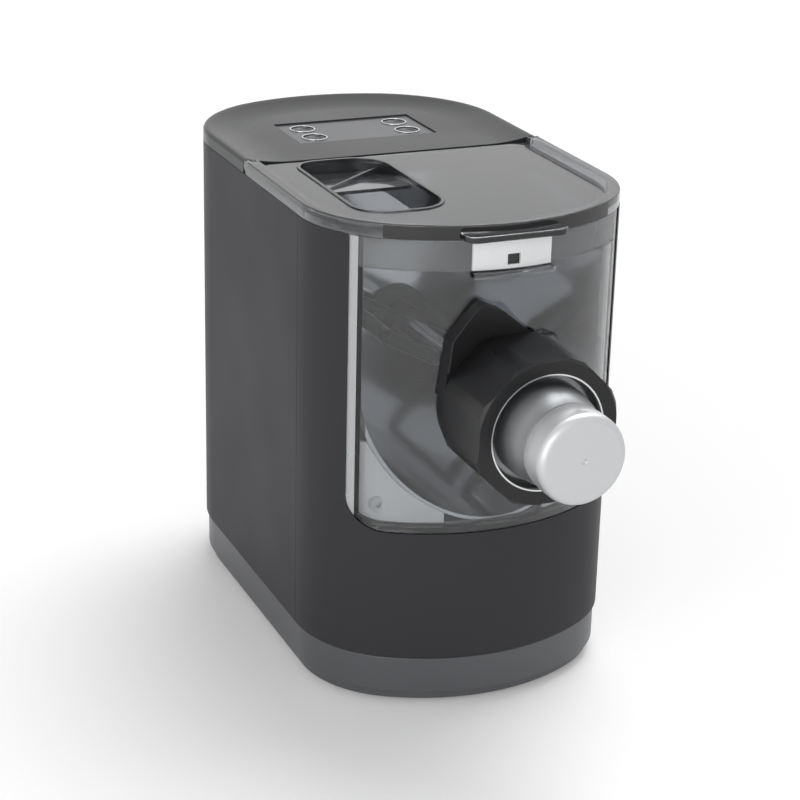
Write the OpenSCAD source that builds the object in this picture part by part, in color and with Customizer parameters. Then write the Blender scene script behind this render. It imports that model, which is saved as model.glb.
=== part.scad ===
// Electric pasta maker with a hinged lid, a lift-off clear front and a screwed-on shaping nozzle.
// Frame: X right, -Y front, +Z up, millimetres, z = 0 on the table, origin at the middle of the box.

/* [Body] */
// Overall width of the body
body_w = 187.6; // [160:0.2:220]
// Length of the body from the bowed front to the bowed rear
body_len = 306.2; // [260:0.2:360]
// Height of the closed machine
body_h = 285; // [240:1:330]
// Radius of the bowed front
front_r = 119; // [100:1:160]
// Radius that rounds the front into the sides
front_corner_r = 65; // [20:1:75]
// Radius of the bowed rear
rear_r = 129.4; // [100:0.2:160]
// Radius that rounds the rear into the sides
rear_corner_r = 76.8; // [20:0.2:85]
// Thickness of the moulded shells
wall = 3; // [2:0.1:4]
// Distance from the front to the seam between the two shells
seam_back = 75.6; // [60:0.2:90]

/* [Base] */
// Height of the rubber feet under the base plate
foot_h = 3; // [2:0.5:6]
// Radius of a rubber foot
foot_r = 11; // [6:0.5:15]
// Height of the top of the metal-look base band
band_top = 30; // [24:0.1:45]
// How far the band stands in from the body
band_inset = 1.5; // [0.5:0.1:4]
// Height of the shadow line between band and shell
band_gap = 1; // [0.4:0.1:2]

/* [Window] */
// Distance from the tub out to the side edge of the clear front opening
window_side = 7.5; // [4:0.5:12]
// Distance from the tub down to the bottom edge of the clear front opening
window_foot = 3.5; // [2:0.5:20]
// Radius of the lower corners of the clear front
window_r = 18; // [8:1:30]
// Gap all round the clear front
window_gap = 0.5; // [0.3:0.1:1]
// Distance from the top down to the step line on the clear front
step_drop = 25; // [18:1:35]
// Width of the pale latch plate
latch_w = 46; // [30:1:60]

/* [Lid] */
// Distance from the front to the joint between lid and top cover
lid_len = 165.1; // [120:0.1:190]
// Distance from the top down to the upper edge of the side walls
wall_drop = 8.4; // [5:0.2:14]
// Width of the raised dark rim round the lid
rim_w = 7.5; // [4:0.5:12]
// Depth of the lid plate below the rim
plate_drop = 3.6; // [1:0.2:4.5]
// Radius of the round hinge edge of the lid
hinge_r = 3.1; // [2.6:0.1:3.2]
// Half width of the finger tongue at the front of the lid
tongue_half = 30; // [20:1:40]
// How far the finger tongue stands out
tongue_out = 8; // [4:0.5:12]

/* [Nozzle] */
// Distance from the top down to the axis of the nozzle and of the mixing shaft
nozzle_drop = 101; // [85:1:125]
// Distance across the flats of the black lock nut
nut_flats = 80; // [60:1:90]
// Distance from the body's front to the lock nut's front face
nut_reach = 50; // [40:1:60]
// Length of the lock nut
nut_len = 46; // [30:1:48]
// Distance from the body's front to the end of the cap
cap_reach = 90.5; // [75:0.5:100]
// Radius of the rounded cap
cap_r = 25.2; // [20:0.1:30]
// Radius of the waist between die and cap
waist_r = 24.4; // [18:0.1:26]
// Radius of the die where it leaves the lock nut
die_r = 27.6; // [24:0.1:29]

/* [Chamber] */
// Inner radius of the U-shaped mixing tub, centred on the nozzle axis
tub_r = 71; // [55:1:74]
// Thickness of the tub
tub_wall = 2; // [1.5:0.1:3]
// Distance from the top down to the tub's rim
tub_drop = 15; // [13:1:30]
// Distance from the tub in to the middle of the mixing bars
paddle_gap = 13; // [8:1:30]
// Angle of the mixing bars at rest, in degrees
paddle_turn = 28; // [0:1:180]
// Radius of the auger flight
auger_r = 20.3; // [15:0.1:20.6]
// Inner radius of the extrusion barrel
barrel_r = 21; // [16:0.5:24]

/* [Drive] */
// Gear module
gear_m = 1.4; // [1:0.1:2]
// Teeth of both pinions
pinion_teeth = 15; // [13:1:20]
// Teeth of the idler's large gear
idler_teeth = 45; // [30:1:50]
// Teeth of the gear on the mixing shaft
output_teeth = 60; // [40:1:64]
// Radius of the motor can
motor_r = 32; // [25:1:36]
// Distance from the motor to the body's rear
motor_gap = 38; // [32:1:60]

/* [Controls] */
// Half width of the control panel
panel_half = 44.5; // [30:0.5:55]
// Distance from the body's middle to the panel's front edge
panel_y0 = 48.5; // [30:0.5:60]
// Distance from the body's middle to the panel's rear edge
panel_y1 = 97; // [75:0.5:110]
// Sideways distance of the buttons from the middle
button_x = 30.5; // [20:0.5:36]
// Radius of a button
button_r = 6.6; // [5:0.1:7]
// Travel of a button
button_travel = 1; // [0.5:0.1:1.5]

/* [Pour opening] */
// Distance from the tub in to the left edge of the pour opening
pour_side = 4; // [1:1:20]
// Width of the pour opening
pour_w = 55.2; // [44:0.2:64]
// Front end of the pour opening
pour_y0 = -104.4; // [-108:0.4:-75]
// Depth of the pour opening below the lid
pour_depth = 17; // [8:1:20]

/* [Hidden] */
$fn = 64;
eps = 0.01;
half_w = body_w / 2;
wall_top = body_h - wall_drop;
step_z = body_h - step_drop;
latch_z = step_z + 5.2;
tub_top = body_h - tub_drop;
nozzle_z = body_h - nozzle_drop;
tub_out = tub_r + tub_wall;
window_w = 2 * (tub_out + window_side);
window_z = nozzle_z - tub_out - window_foot;
paddle_r = tub_r - paddle_gap;
pour_x0 = pour_side - tub_r;
pour_x1 = pour_x0 + pour_w;
tray_z = body_h - plate_drop - 4.9;
far = body_w + 10;
sky = body_h + 20;
front_y = -body_len / 2;
rear_y = body_len / 2;
body_y = cap_reach / 2;
seam_y = front_y + seam_back;
join_y = front_y + lid_len;
shell_z = band_top + band_gap;
front_cy = front_y + front_r;
rear_cy = rear_y - rear_r;
front_d = sqrt(pow(front_r - front_corner_r, 2) - pow(half_w - front_corner_r, 2));
rear_d = sqrt(pow(rear_r - rear_corner_r, 2) - pow(half_w - rear_corner_r, 2));
front_a = atan2(front_d, half_w - front_corner_r);
rear_a = atan2(rear_d, half_w - rear_corner_r);
plate_z = foot_h + 3;
lid_z = wall_top + 0.3;
hinge_y = join_y - 0.2 - hinge_r;
hinge_z = body_h - hinge_r;
lid_plate_z = body_h - plate_drop;
panel_top = wall_top - 0.5;
panel_in = 0.8;
nut_y = front_y - nut_reach;
nut_back = nut_y + nut_len;
cap_y = front_y - cap_reach;
bore_r = 34.2;
idler_z = nozzle_z - gear_m * (output_teeth + pinion_teeth) / 2;
motor_z = idler_z - gear_m * (idler_teeth + pinion_teeth) / 2;
shaft_r = 6;
run_gap = 0.05;
motor_y0 = 46;
motor_y1 = rear_y - motor_gap;
cover_z = body_h - 3.5;
floor_z = body_h - 5.8;
panel_z = body_h - 4.4;
foot_x = half_w - 33.3;
foot_y = [front_y + 56, rear_y - 51];
hinge_x = half_w - rim_w / 2 - 0.55;
pin_mid = half_w - rim_w / 2 - 0.4;
pin_half = rim_w / 2 - 0.6;
corner_x = tub_out - 10;
corner_z = nozzle_z - 63;
board_x = half_w - 51.3;
button_y = [panel_y0 + 14, panel_y0 + 35];

// Moves body coordinates, with y = 0 at the body's middle, to the shared frame.
module at_body() {
  translate([0, body_y, 0]) children();
}

function arc(cx, cy, r, a0, a1, n, from = 0) =
  [for (i = [from : n]) [cx + r * cos(a0 + (a1 - a0) * i / n), cy + r * sin(a0 + (a1 - a0) * i / n)]];

// The body's outline seen from above, stepped in by the given inset.
function plan(inset) = concat(
  arc(half_w - rear_corner_r, rear_cy + rear_d, rear_corner_r - inset, 0, rear_a, 12),
  arc(0, rear_cy, rear_r - inset, rear_a, 180 - rear_a, 7, 1),
  arc(rear_corner_r - half_w, rear_cy + rear_d, rear_corner_r - inset, 180 - rear_a, 180, 12, 1),
  arc(front_corner_r - half_w, front_cy - front_d, front_corner_r - inset, 180, 180 + front_a, 9),
  arc(0, front_cy, front_r - inset, 180 + front_a, 360 - front_a, 15, 1),
  arc(half_w - front_corner_r, front_cy - front_d, front_corner_r - inset, 360 - front_a, 360, 9, 1));

// Where the rounded front corner lies at a distance x from the middle.
function corner_y(x, inset) = front_cy - front_d
  - sqrt(pow(front_corner_r - inset, 2) - pow(x - half_w + front_corner_r, 2));

module prism(inset, z0, z1) {
  translate([0, 0, z0]) linear_extrude(z1 - z0) polygon(plan(inset));
}

module box(x0, x1, y0, y1, z0, z1) {
  translate([x0, y0, z0]) cube([x1 - x0, y1 - y0, z1 - z0]);
}

// Extrudes a shape drawn in X and Z along Y.
module along_y(y0, y1, x = 0, z = 0) {
  translate([x, y1, z]) rotate([90, 0, 0]) linear_extrude(y1 - y0) children();
}

module rod_y(r, y0, y1, x = 0, z = nozzle_z) {
  translate([x, y1, z]) rotate([90, 0, 0]) cylinder(r = r, h = y1 - y0);
}

module rod_x(r, x0, x1, y, z) {
  translate([x0, y, z]) rotate([0, 90, 0]) cylinder(r = r, h = x1 - x0);
}

// Turns a profile of radius and distance round the nozzle axis.
module round_y(y0) {
  translate([0, y0, nozzle_z]) rotate([90, 0, 0]) rotate_extrude() children();
}

// The clear front's outline seen from the front, larger than the opening by grow.
module window(grow = 0) {
  w = window_w / 2 + grow;
  r = window_r + grow;
  z = window_z - grow;
  polygon(concat(arc(r - w, z + r, r, 180, 270, 8), arc(w - r, z + r, r, 270, 360, 8),
    [[w, body_h + 20], [-w, body_h + 20]]));
}

function involute(base, t) = [base * (cos(t) + t * PI / 180 * sin(t)), base * (sin(t) - t * PI / 180 * cos(t))];

// One flank, seen from the tooth's middle line, from root to tip.
function flank(n, side) = let (
    pitch = gear_m * n / 2, base = pitch * cos(25), tip = pitch + 0.92 * gear_m,
    root = pitch - 1.2 * gear_m,
    tp = sqrt(pow(pitch / base, 2) - 1) * 180 / PI,
    pp = involute(base, tp), half = 90 / n - 0.09 * 180 / PI / pitch,
    shift = half + atan2(pp[1], pp[0]),
    t0 = root > base ? sqrt(pow(root / base, 2) - 1) * 180 / PI : 0,
    t1 = sqrt(pow(tip / base, 2) - 1) * 180 / PI)
  concat(root < base ? [[root * cos(shift), root * side * sin(shift)]] : [],
    [for (i = [0 : 4]) let (p = involute(base, t0 + (t1 - t0) * i / 4), r = norm(p),
      a = shift - atan2(p[1], p[0])) [r * cos(a), side * r * sin(a)]]);

function turned(p, a) = [p[0] * cos(a) - p[1] * sin(a), p[0] * sin(a) + p[1] * cos(a)];

module gear(n, y0, y1, z, phase) {
  right = flank(n, -1);
  left = flank(n, 1);
  tooth = concat(right, [for (i = [len(left) - 1 : -1 : 0]) left[i]]);
  along_y(y0, y1, 0, z) rotate(phase)
    polygon([for (k = [0 : n - 1]) for (p = tooth) turned(p, 360 * k / n)]);
}

module rear_shell() {
  color("#3c3c3e") at_body() {
    difference() {
      prism(0, shell_z, wall_top);
      prism(wall, shell_z - 1, wall_top + 1);
      box(-far, far, front_y - 10, seam_y + 0.2, 0, sky);
      for (x = [-42 : 7 : 42]) {
        box(x - 1.5, x + 1.5, rear_y - 40, rear_y + 10, motor_z + 3.5, motor_z + 43.5);
      }
      box(-20.4, 20.4, rear_y - 12, rear_y + 10, 45.6, 74.4);
    }
    difference() {
      intersection() {
        box(-25, 25, rear_y - 9, rear_y, 41, 79);
        prism(wall - 0.2, 40, 80);
      }
      box(-20.4, 20.4, rear_y - 5.8, rear_y + 10, 45.6, 74.4);
      box(-14.4, 14.4, rear_y - 16, rear_y - 4, 49.6, 70.4);
    }
    // Ledge that carries the top cover.
    difference() {
      prism(wall - 0.2, wall_top - 12, wall_top - 7);
      prism(wall + 4, wall_top - 13, wall_top - 6);
      box(-far, far, front_y - 10, join_y + 14, 0, sky);
    }
  }
}

module front_shell() {
  color("#3c3c3e") at_body() {
    difference() {
      prism(0, shell_z, wall_top);
      prism(wall, shell_z - 1, wall_top + 1);
      box(-far, far, seam_y - 0.2, rear_y + 10, 0, sky);
      along_y(front_y - 10, seam_y, 0, 0) window(0);
    }
    // Reveal that frames the clear front.
    difference() {
      intersection() {
        prism(wall - 0.1, window_z - 10, wall_top);
        along_y(front_y - 10, seam_y - 12) window(2.2);
      }
      along_y(front_y - 20, seam_y) window(0);
      prism(12.5, 0, sky);
    }
  }
}

module base_band() {
  color("#77787b") at_body() difference() {
    union() {
      prism(band_inset + 2.5, foot_h, foot_h + 5);
      prism(band_inset, foot_h + 5, band_top);
      prism(wall + 0.2, band_top - eps, band_top + 6);
    }
    prism(band_inset + 4.2, foot_h - 1, band_top + 10);
  }
}

module chassis() {
  color("#2a2a2c") at_body() {
    difference() {
      prism(band_inset + 4.4, foot_h, plate_z);
      for (x = [-foot_x, foot_x]) {
        for (y = foot_y) {
          translate([x, y, 0]) cylinder(r = 4, h = 20);
        }
        for (y = [-62, 62]) {
          translate([x, y, 0]) cylinder(r = 2.2, h = 20);
        }
      }
      for (y = [70 : 8 : 118]) {
        box(-24, 24, y, y + 3.4, 0, 20);
      }
    }
    for (y = [-112, -30]) {
      difference() {
        box(17 - tub_out, tub_out - 17, y, y + 4, plate_z - eps, nozzle_z - 37);
        rod_y(tub_out + 0.15, y - 1, y + 5);
        box(-26, 26, y - 1, y + 5, 16, nozzle_z - 97);
      }
    }
    for (y = [motor_y0 + 12, motor_y1 - 20]) {
      difference() {
        box(-motor_r - 2, motor_r + 2, y, y + 4, plate_z - eps, motor_z);
        rod_y(motor_r + 0.1, y - 1, y + 5, 0, motor_z);
        box(-18, 18, y - 1, y + 5, 16, motor_z - 44.5);
      }
    }
  }
}

module feet() {
  color("#161616") at_body() for (x = [-foot_x, foot_x]) {
    for (y = foot_y) {
      translate([x, y, 0]) {
        cylinder(r = foot_r, h = foot_h - 0.05);
        cylinder(r = 3.95, h = plate_z + 1);
      }
    }
  }
}

module base_screws() {
  color("#b9bbbe") at_body() for (x = [-foot_x, foot_x]) {
    for (y = [-62, 62]) {
      translate([x, y, 0]) {
        difference() {
          translate([0, 0, foot_h - 2]) cylinder(r = 4, h = 2 - 0.05);
          translate([0, 0, foot_h - 2.1]) cylinder(r = 1.6, h = 1.4, $fn = 6);
        }
        translate([0, 0, foot_h - 0.3]) cylinder(r = 2.1, h = 12);
      }
    }
  }
}

module top_cover() {
  h = body_h;
  insets = [[0, lid_z, h - 3.4], [0.8, h - 3.5, h - 2.3], [2, h - 2.4, h - 1.3], [3.8, h - 1.4, h - 0.4]];
  color("#6f7072") at_body() {
    difference() {
      union() {
        for (s = insets) {
          prism(s[0], s[1], s[2]);
        }
      }
      box(-far, far, front_y - 10, join_y + 0.2, 0, sky);
      prism(9, h - 1.9, sky);
      prism(11, h - 2.7, sky);
      prism(13, cover_z, sky);
      box(-half_w + 13, half_w - 13, 0, join_y + 14, h - 2.4, sky);
      box(-panel_half, panel_half, panel_y0, panel_y1, floor_z, sky);
      box(-panel_half + 4, panel_half - 4, panel_y0 + 4, panel_y1 - 4, floor_z - 9, sky);
    }
    // Lip inside the shell.
    difference() {
      prism(wall + 0.3, wall_top - 6.6, lid_z + eps);
      prism(wall + 2.8, wall_top - 8, lid_z + 1);
      box(-far, far, front_y - 10, join_y + 12, 0, sky);
    }
    // Hinge ears that reach into the lid's notches.
    for (s = [-1, 1]) {
      difference() {
        union() {
          rod_x(hinge_r - 0.1, s * hinge_x - 1.5, s * hinge_x + 1.5, hinge_y, hinge_z);
          box(s * hinge_x - 1.5, s * hinge_x + 1.5, hinge_y, join_y + 3, lid_z, h - 3.4);
        }
        rod_x(1.2, s * hinge_x - 3, s * hinge_x + 3, hinge_y, hinge_z);
      }
    }
  }
}

module control_panel() {
  color("#8b8c8e") at_body() difference() {
    union() {
      box(-panel_half + 0.3, panel_half - 0.3, panel_y0 + 0.3, panel_y1 - 0.3, floor_z, panel_z);
      box(-panel_half + 4.3, panel_half - 4.3, panel_y0 + 4.3, panel_y1 - 4.3, floor_z - 1.4, panel_z);
    }
    for (x = [-button_x, button_x]) {
      for (y = button_y) {
        translate([x, y, floor_z - 9]) cylinder(r = button_r + 0.4, h = 30);
      }
    }
  }
}

module button_rings() {
  color("#c9cacc") at_body() for (x = [-button_x, button_x]) {
    for (y = button_y) {
      translate([x, y, panel_z]) difference() {
        cylinder(r = button_r + 1.3, h = 0.5);
        translate([0, 0, -1]) cylinder(r = button_r + 0.4, h = 3);
      }
    }
  }
}

module button(x, y) {
  color("#3a3b3d") at_body() translate([x, y, 0]) {
    difference() {
      translate([0, 0, panel_z - 5.6]) cylinder(r = button_r, h = 5.4);
      translate([0, 0, panel_z - 0.7]) cylinder(r = button_r - 1.6, h = 2);
    }
    translate([0, 0, panel_z - 5.6]) cylinder(r = button_r + 1.4, h = 1.2);
  }
}

module button_1() { button(-button_x, button_y[0]); }

module button_2() { button(-button_x, button_y[1]); }

module button_3() { button(button_x, button_y[0]); }

module button_4() { button(button_x, button_y[1]); }

module control_board() {
  color("#1f4a34") at_body() translate([0, 0, panel_z - 10.6]) {
    difference() {
      box(4 - panel_half, panel_half - 4, panel_y0 + 2, panel_y1 - 2, -1.6, 0);
      for (x = [-36, 36]) {
        translate([x, 66, -5]) cylinder(r = 1.6, h = 10);
      }
    }
    for (x = [-button_x, button_x]) {
      for (y = button_y) {
        box(x - 3, x + 3, y - 3, y + 3, -0.1, 2);
        translate([x, y, 1.9]) cylinder(r = 1.7, h = 1.8);
      }
    }
    box(-12, 12, 60, 72, -0.1, 2.5);
    for (x = [4.8 - panel_half, panel_half - 4.8]) {
      box(x - 0.6, x + 0.6, 50, 82, -0.1, 7.7);
    }
  }
}

module hinge_pins() {
  color("#c9cbce") at_body() for (s = [-1, 1]) {
    rod_x(1.2, s * pin_mid - pin_half, s * pin_mid + pin_half, hinge_y, hinge_z);
  }
}

module pour_outline(grow) {
  x0 = pour_x0 - grow;
  x1 = pour_x1 + grow;
  y1 = join_y - 4 + grow;
  y0 = pour_y0 - grow;
  front = 20 + grow;
  left = 15 + grow;
  right = 22 + grow;
  polygon(concat(arc(x1 - right, y1 - right, right, 0, 90, 7), arc(x0 + left, y1 - left, left, 90, 180, 6),
    arc(x0 + front, y0 + front, front, 180, 270, 7), arc(x1 - front, y0 + front, front, 270, 360, 7)));
}

module lid() {
  color("#8f9194", 0.55) at_body() {
    difference() {
      union() {
        difference() {
          prism(0.2, lid_z, body_h);
          prism(rim_w, lid_plate_z, sky);
          prism(rim_w, lid_z - 1, lid_plate_z - 2.2);
        }
        // Round knuckles at the rear ends of the rim.
        for (s = [-1, 1]) {
          intersection() {
            prism(0.2, lid_z, body_h + 1);
            rod_x(hinge_r, s * half_w - rim_w, s * half_w + rim_w, hinge_y, hinge_z);
          }
        }
        translate([0, 0, lid_z + 0.8]) linear_extrude(3.6)
          polygon(concat([[-tongue_half, front_y + 6]],
            arc(6 - tongue_half, front_y - tongue_out + 6, 6, 180, 270, 4),
            arc(tongue_half - 6, front_y - tongue_out + 6, 6, 270, 360, 4),
            [[tongue_half, front_y + 6]]));
        // Inner lip along the sides.
        difference() {
          prism(wall + 1.3, wall_top - 5, lid_z + 0.7);
          prism(wall + 3.3, wall_top - 6, lid_z + 1);
          box(-far, far, front_y - 10, seam_y - 6, 0, sky);
          box(-far, far, -14, rear_y + 10, 0, sky);
        }
      }
      // Everything behind the hinge line except the knuckles and the plate between them.
      difference() {
        box(-far, far, hinge_y, rear_y + 10, 0, sky);
        rod_x(hinge_r, -far, far, hinge_y, hinge_z);
        box(rim_w - half_w, half_w - rim_w, hinge_y - 1, hinge_y + hinge_r, 0, sky);
      }
      box(-far, far, hinge_y, rear_y + 10, 0, lid_z);
      for (s = [-1, 1]) {
        box(s * hinge_x - 1.9, s * hinge_x + 1.9, hinge_y - hinge_r - 0.6, rear_y, lid_z - 9, sky);
        rod_x(1.2 + run_gap, s * pin_mid - pin_half - 0.3, s * pin_mid + pin_half + 0.3, hinge_y, hinge_z);
      }
      translate([0, 0, lid_z - 9]) linear_extrude(20) pour_outline(0.3);
    }
    // Raised step line on the plate, right of the middle.
    box(half_w - 26.3, half_w - 24.3, -128, -24, lid_plate_z - eps, lid_plate_z + 0.8);
    box(12, half_w - 24.3, -24, -22, lid_plate_z - eps, lid_plate_z + 0.8);
  }
}

module pour_funnel() {
  z0 = lid_plate_z - pour_depth;
  color("#8f9194", 0.5) at_body() {
    difference() {
      translate([0, 0, z0]) linear_extrude(lid_plate_z + 0.7 - z0) pour_outline(0);
      translate([0, 0, z0 - 1]) linear_extrude(40) pour_outline(-2);
      box(-far, far, -1.2, join_y, 0, tub_top + 1.4);
    }
    // Tray in the rear half with a ridge across it, in front of which the opening goes through.
    intersection() {
      translate([0, 0, z0]) linear_extrude(40) pour_outline(-1.9);
      union() {
        translate([pour_x0, 0, 0]) rotate([90, 0, 90]) linear_extrude(pour_w)
          polygon([[join_y, tray_z - 4.5], [join_y - 59.6, tray_z], [join_y - 59.6, tray_z + 2],
            [join_y, tray_z - 2.5]]);
        translate([pour_x0, join_y - 57.6, tray_z - 2])
          rotate(atan2(44, pour_w)) cube([90, 2, 4.4]);
      }
    }
  }
}

module front_panel() {
  color("#c4c7ca", 0.3) at_body() {
    difference() {
      intersection() {
        along_y(front_y - 10, seam_y - 8) window(-window_gap);
        prism(panel_in, 0, panel_top);
      }
      intersection() {
        along_y(front_y - 20, seam_y) window(-window_gap - 2.5);
        prism(panel_in + wall, 0, panel_top + 1);
      }
      prism(12, 0, sky);
      rod_y(28, front_y - 20, seam_y);
      along_y(front_y - 20, seam_y, 0, latch_z) square([7.9, 6.4], center = true);
    }
    // Narrow step over the full width and the finger shelf under the latch plate.
    difference() {
      intersection() {
        prism(panel_in - 0.4, step_z - 0.8, step_z);
        along_y(front_y - 10, seam_y - 30) window(-window_gap - 4);
      }
      prism(panel_in + 0.1, 0, sky);
    }
    difference() {
      intersection() {
        box(-latch_w / 2 - 1, latch_w / 2 + 1, front_y - 5, front_y + 10, step_z - 3.6, step_z - 0.7);
        prism(-5, 0, sky);
      }
      prism(panel_in + 0.1, 0, sky);
    }
    // Small clear lug to the right of the nozzle.
    difference() {
      box(18, 27, front_y - 3, front_y + 10, nozzle_z + 27.5, nozzle_z + 36);
      box(20, 25, front_y - 5, front_y - 0.2, nozzle_z + 29.5, nozzle_z + 34);
      prism(panel_in + 0.1, 0, sky);
    }
    // Inner rib at each side.
    for (s = [-1, 1]) {
      difference() {
        intersection() {
          box(s * (tub_out + 1) - 1, s * (tub_out + 1) + 1, front_y, front_y + 60, window_z + 8, panel_top);
          prism(panel_in + wall - 0.1, 0, sky);
        }
        prism(wall + 7.5, 0, sky);
      }
    }
  }
}

module latch_plate() {
  color("#d8d9da") at_body() difference() {
    intersection() {
      prism(-0.7, step_z + 0.2, panel_top - 0.2);
      box(-latch_w / 2, latch_w / 2, front_y - 5, front_y + 20, 0, sky);
    }
    prism(panel_in - 0.02, 0, sky);
    along_y(front_y - 20, seam_y, 0, latch_z) square([7.5, 6], center = true);
  }
}

module latch_catch() {
  color("#1a1a1b") at_body() {
    along_y(front_y + 1, front_y + 7, 0, latch_z) square([7.3, 5.8], center = true);
    along_y(front_y + 4.6, front_y + 7, 0, latch_z) square([16, 9], center = true);
  }
}

module collar() {
  color("#1c1c1d") at_body() difference() {
    union() {
      rod_y(nut_flats / 2 - 1, nut_back + 0.4, front_y + 20);
      difference() {
        along_y(nut_back - 1, front_y + 20, 0, nozzle_z) polygon([[-40, 6], [-36, 40], [-31, 46],
          [-26, 52.5], [-21, 58], [-17, 59], [-7, 54.5], [1, 48], [13, 38], [38, 12]]);
        rod_y(nut_flats / 2 + 4, nut_back - 10, nut_back + 0.4);
      }
    }
    box(17.6, 27.4, front_y - 10, front_y + 20, nozzle_z + 27.1, nozzle_z + 36.4);
    prism(panel_in - 0.05, 0, sky);
    rod_y(27.8, front_y - 60, front_y + 40);
  }
}

module barrel() {
  color("#2a2a2b") at_body() difference() {
    union() {
      rod_y(27.5, nut_y + 14.7, front_y + 13);
      rod_y(33.2, nut_y + 15.5, nut_back - 3);
      for (y = [15.5 : 6 : 33.5]) {
        rod_y(33.9, nut_y + y, nut_y + y + 3);
      }
      rod_y(32, front_y + 8.9, front_y + 11.9);
    }
    rod_y(barrel_r, nut_y, front_y + 30);
  }
}

module octagon(flats) {
  rotate(22.5) circle(r = flats / 2 / cos(22.5), $fn = 8);
}

module lock_nut() {
  color("#1c1c1d") at_body() difference() {
    intersection() {
      along_y(nut_y, nut_back, 0, nozzle_z) intersection() {
        octagon(nut_flats);
        rotate(22.5) octagon(nut_flats + 3.3);
      }
      translate([0, nut_back, nozzle_z]) rotate([90, 0, 0])
        cylinder(r1 = nut_flats / 2 + nut_len + 0.2, r2 = nut_flats / 2 + 0.2, h = nut_len);
      translate([0, nut_back, nozzle_z]) rotate([90, 0, 0])
        cylinder(r1 = nut_flats / 2 + 1.5, r2 = nut_flats / 2 + nut_len, h = nut_len);
    }
    rod_y(33.2, nut_y - 1, nut_y + 7);
    rod_y(30.5, nut_y, nut_y + 11);
    rod_y(bore_r, nut_y + 10, nut_back + 1);
  }
}

module shaping_die() {
  color("#a9abad") at_body() difference() {
    round_y(nut_y + 14.4) polygon([[0, 0], [33.6, 0], [33.6, 4.1], [die_r, 4.1], [die_r, 14],
      [die_r - 0.8, 20], [waist_r + 1, 28], [waist_r, 34], [21, 35.6], [21, 48.5], [20, 49.9], [0, 49.9]]);
    round_y(nut_y + 15) polygon([[0, 0], [20.6, 0], [17, 20], [17, 47.5], [0, 47.5]]);
    for (x = [-12 : 6 : 12]) {
      along_y(nut_y - 60, nut_y, x, nozzle_z) square([1.6, 2 * sqrt(196 - x * x)], center = true);
    }
  }
}

// Bright liner of the recess in the nut's face.
module nut_ring() {
  color("#c9cbcd") at_body() difference() {
    rod_y(33.15, nut_y + 0.6, nut_y + 6.9);
    rod_y(32, nut_y, nut_y + 8);
  }
}

module die_cap() {
  y0 = nut_y + 11.4 - 32.9;
  e = 4.5;
  color("#b4b6b8") at_body() difference() {
    round_y(y0) polygon(concat([[21.3, 0], [waist_r + 0.4, 0], [cap_r - 0.5, 3]],
      arc(cap_r - e, y0 - cap_y - e, e, 0, 90, 8), [[0, y0 - cap_y], [0, y0 - cap_y - 3.5],
      [19, y0 - cap_y - 3.5], [21.3, y0 - cap_y - 6]]));
    rod_y(1.2, cap_y - 1, cap_y + 0.6);
  }
}

module mixing_tub() {
  color("#6b6d70") at_body() {
    difference() {
      intersection() {
        union() {
          rod_y(tub_out, front_y, 3);
          box(-tub_out, tub_out, front_y, 3, nozzle_z, tub_top);
        }
        prism(wall + 5, 0, sky);
      }
      rod_y(tub_r, front_y - 10, 1);
      box(-tub_r, tub_r, front_y - 10, 1, nozzle_z, sky);
      rod_y(16, -5, 10);
    }
    // Deck that closes the gap between tub and shell.
    difference() {
      prism(wall + 0.4, tub_top - 2, tub_top);
      box(-tub_r - 1, tub_r + 1, front_y - 10, 2, 0, sky);
      box(-far, far, front_y - 10, seam_y - 12, 0, sky);
      box(-far, far, 3, rear_y + 10, 0, sky);
    }
  }
}

module tub_corners() {
  y0 = corner_y(corner_x + 4.8, panel_in + wall) + 0.7;
  y1 = corner_y(corner_x, wall + 7.5) - 0.2;
  color("#d2d3d4") at_body() for (s = [-1, 1]) {
    difference() {
      intersection() {
        prism(wall + 5.5, window_z + 3.4, nozzle_z - 27);
        box(s > 0 ? 30 : 0.4 - tub_out, s > 0 ? tub_out - 0.4 : -30, front_y, seam_y, 0, sky);
        along_y(front_y - 10, seam_y) window(-4);
      }
      prism(wall + 7.5, 0, sky);
      rod_y(tub_out + 0.2, front_y - 10, seam_y);
      rod_y(2.6, front_y, seam_y, s * corner_x, corner_z);
    }
    difference() {
      rod_y(4.8, y0, y1, s * corner_x, corner_z);
      rod_y(1.8, y0 - 1, y0 + 2.5, s * corner_x, corner_z);
      rod_y(tub_out + 0.2, front_y - 10, seam_y);
    }
  }
}

module bulkhead() {
  color("#303032") at_body() difference() {
    intersection() {
      prism(wall + 0.4, band_top + 8, tub_top - 4);
      box(-far, far, 3.4, 5.6, 0, sky);
    }
    rod_y(14.6, 0, 10);
  }
}

module shaft_seal() {
  color("#202021") at_body() difference() {
    union() {
      rod_y(14.4, -0.5, 5.6);
      rod_y(19, -2.5, 0.9);
    }
    rod_y(shaft_r + 0.1, -5, 10);
  }
}

module drive_shaft() {
  color("#b9bbbe") at_body() {
    rod_y(shaft_r, -122, 43.5);
    rod_y(9, 9.6, 11.6);
  }
}

module mixing_paddle() {
  color("#c8c9ca") at_body() {
    difference() {
      union() {
        rod_y(11, -20, -4);
        rod_y(11, -112, -98);
        for (a = [0, 180]) {
          translate([0, 0, nozzle_z]) rotate([0, a + paddle_turn, 0]) {
            translate([paddle_r, -12, 0]) rotate([90, 0, 0]) cylinder(r = 4.5, h = 94);
            translate([8, -12, 0]) rotate([0, 90, 0]) cylinder(r = 4, h = paddle_r - 8);
            translate([8, -106, 0]) rotate([0, 90, 0]) cylinder(r = 4, h = paddle_r - 8);
          }
        }
      }
      rod_y(shaft_r + run_gap, -130, 5);
    }
  }
}

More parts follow.
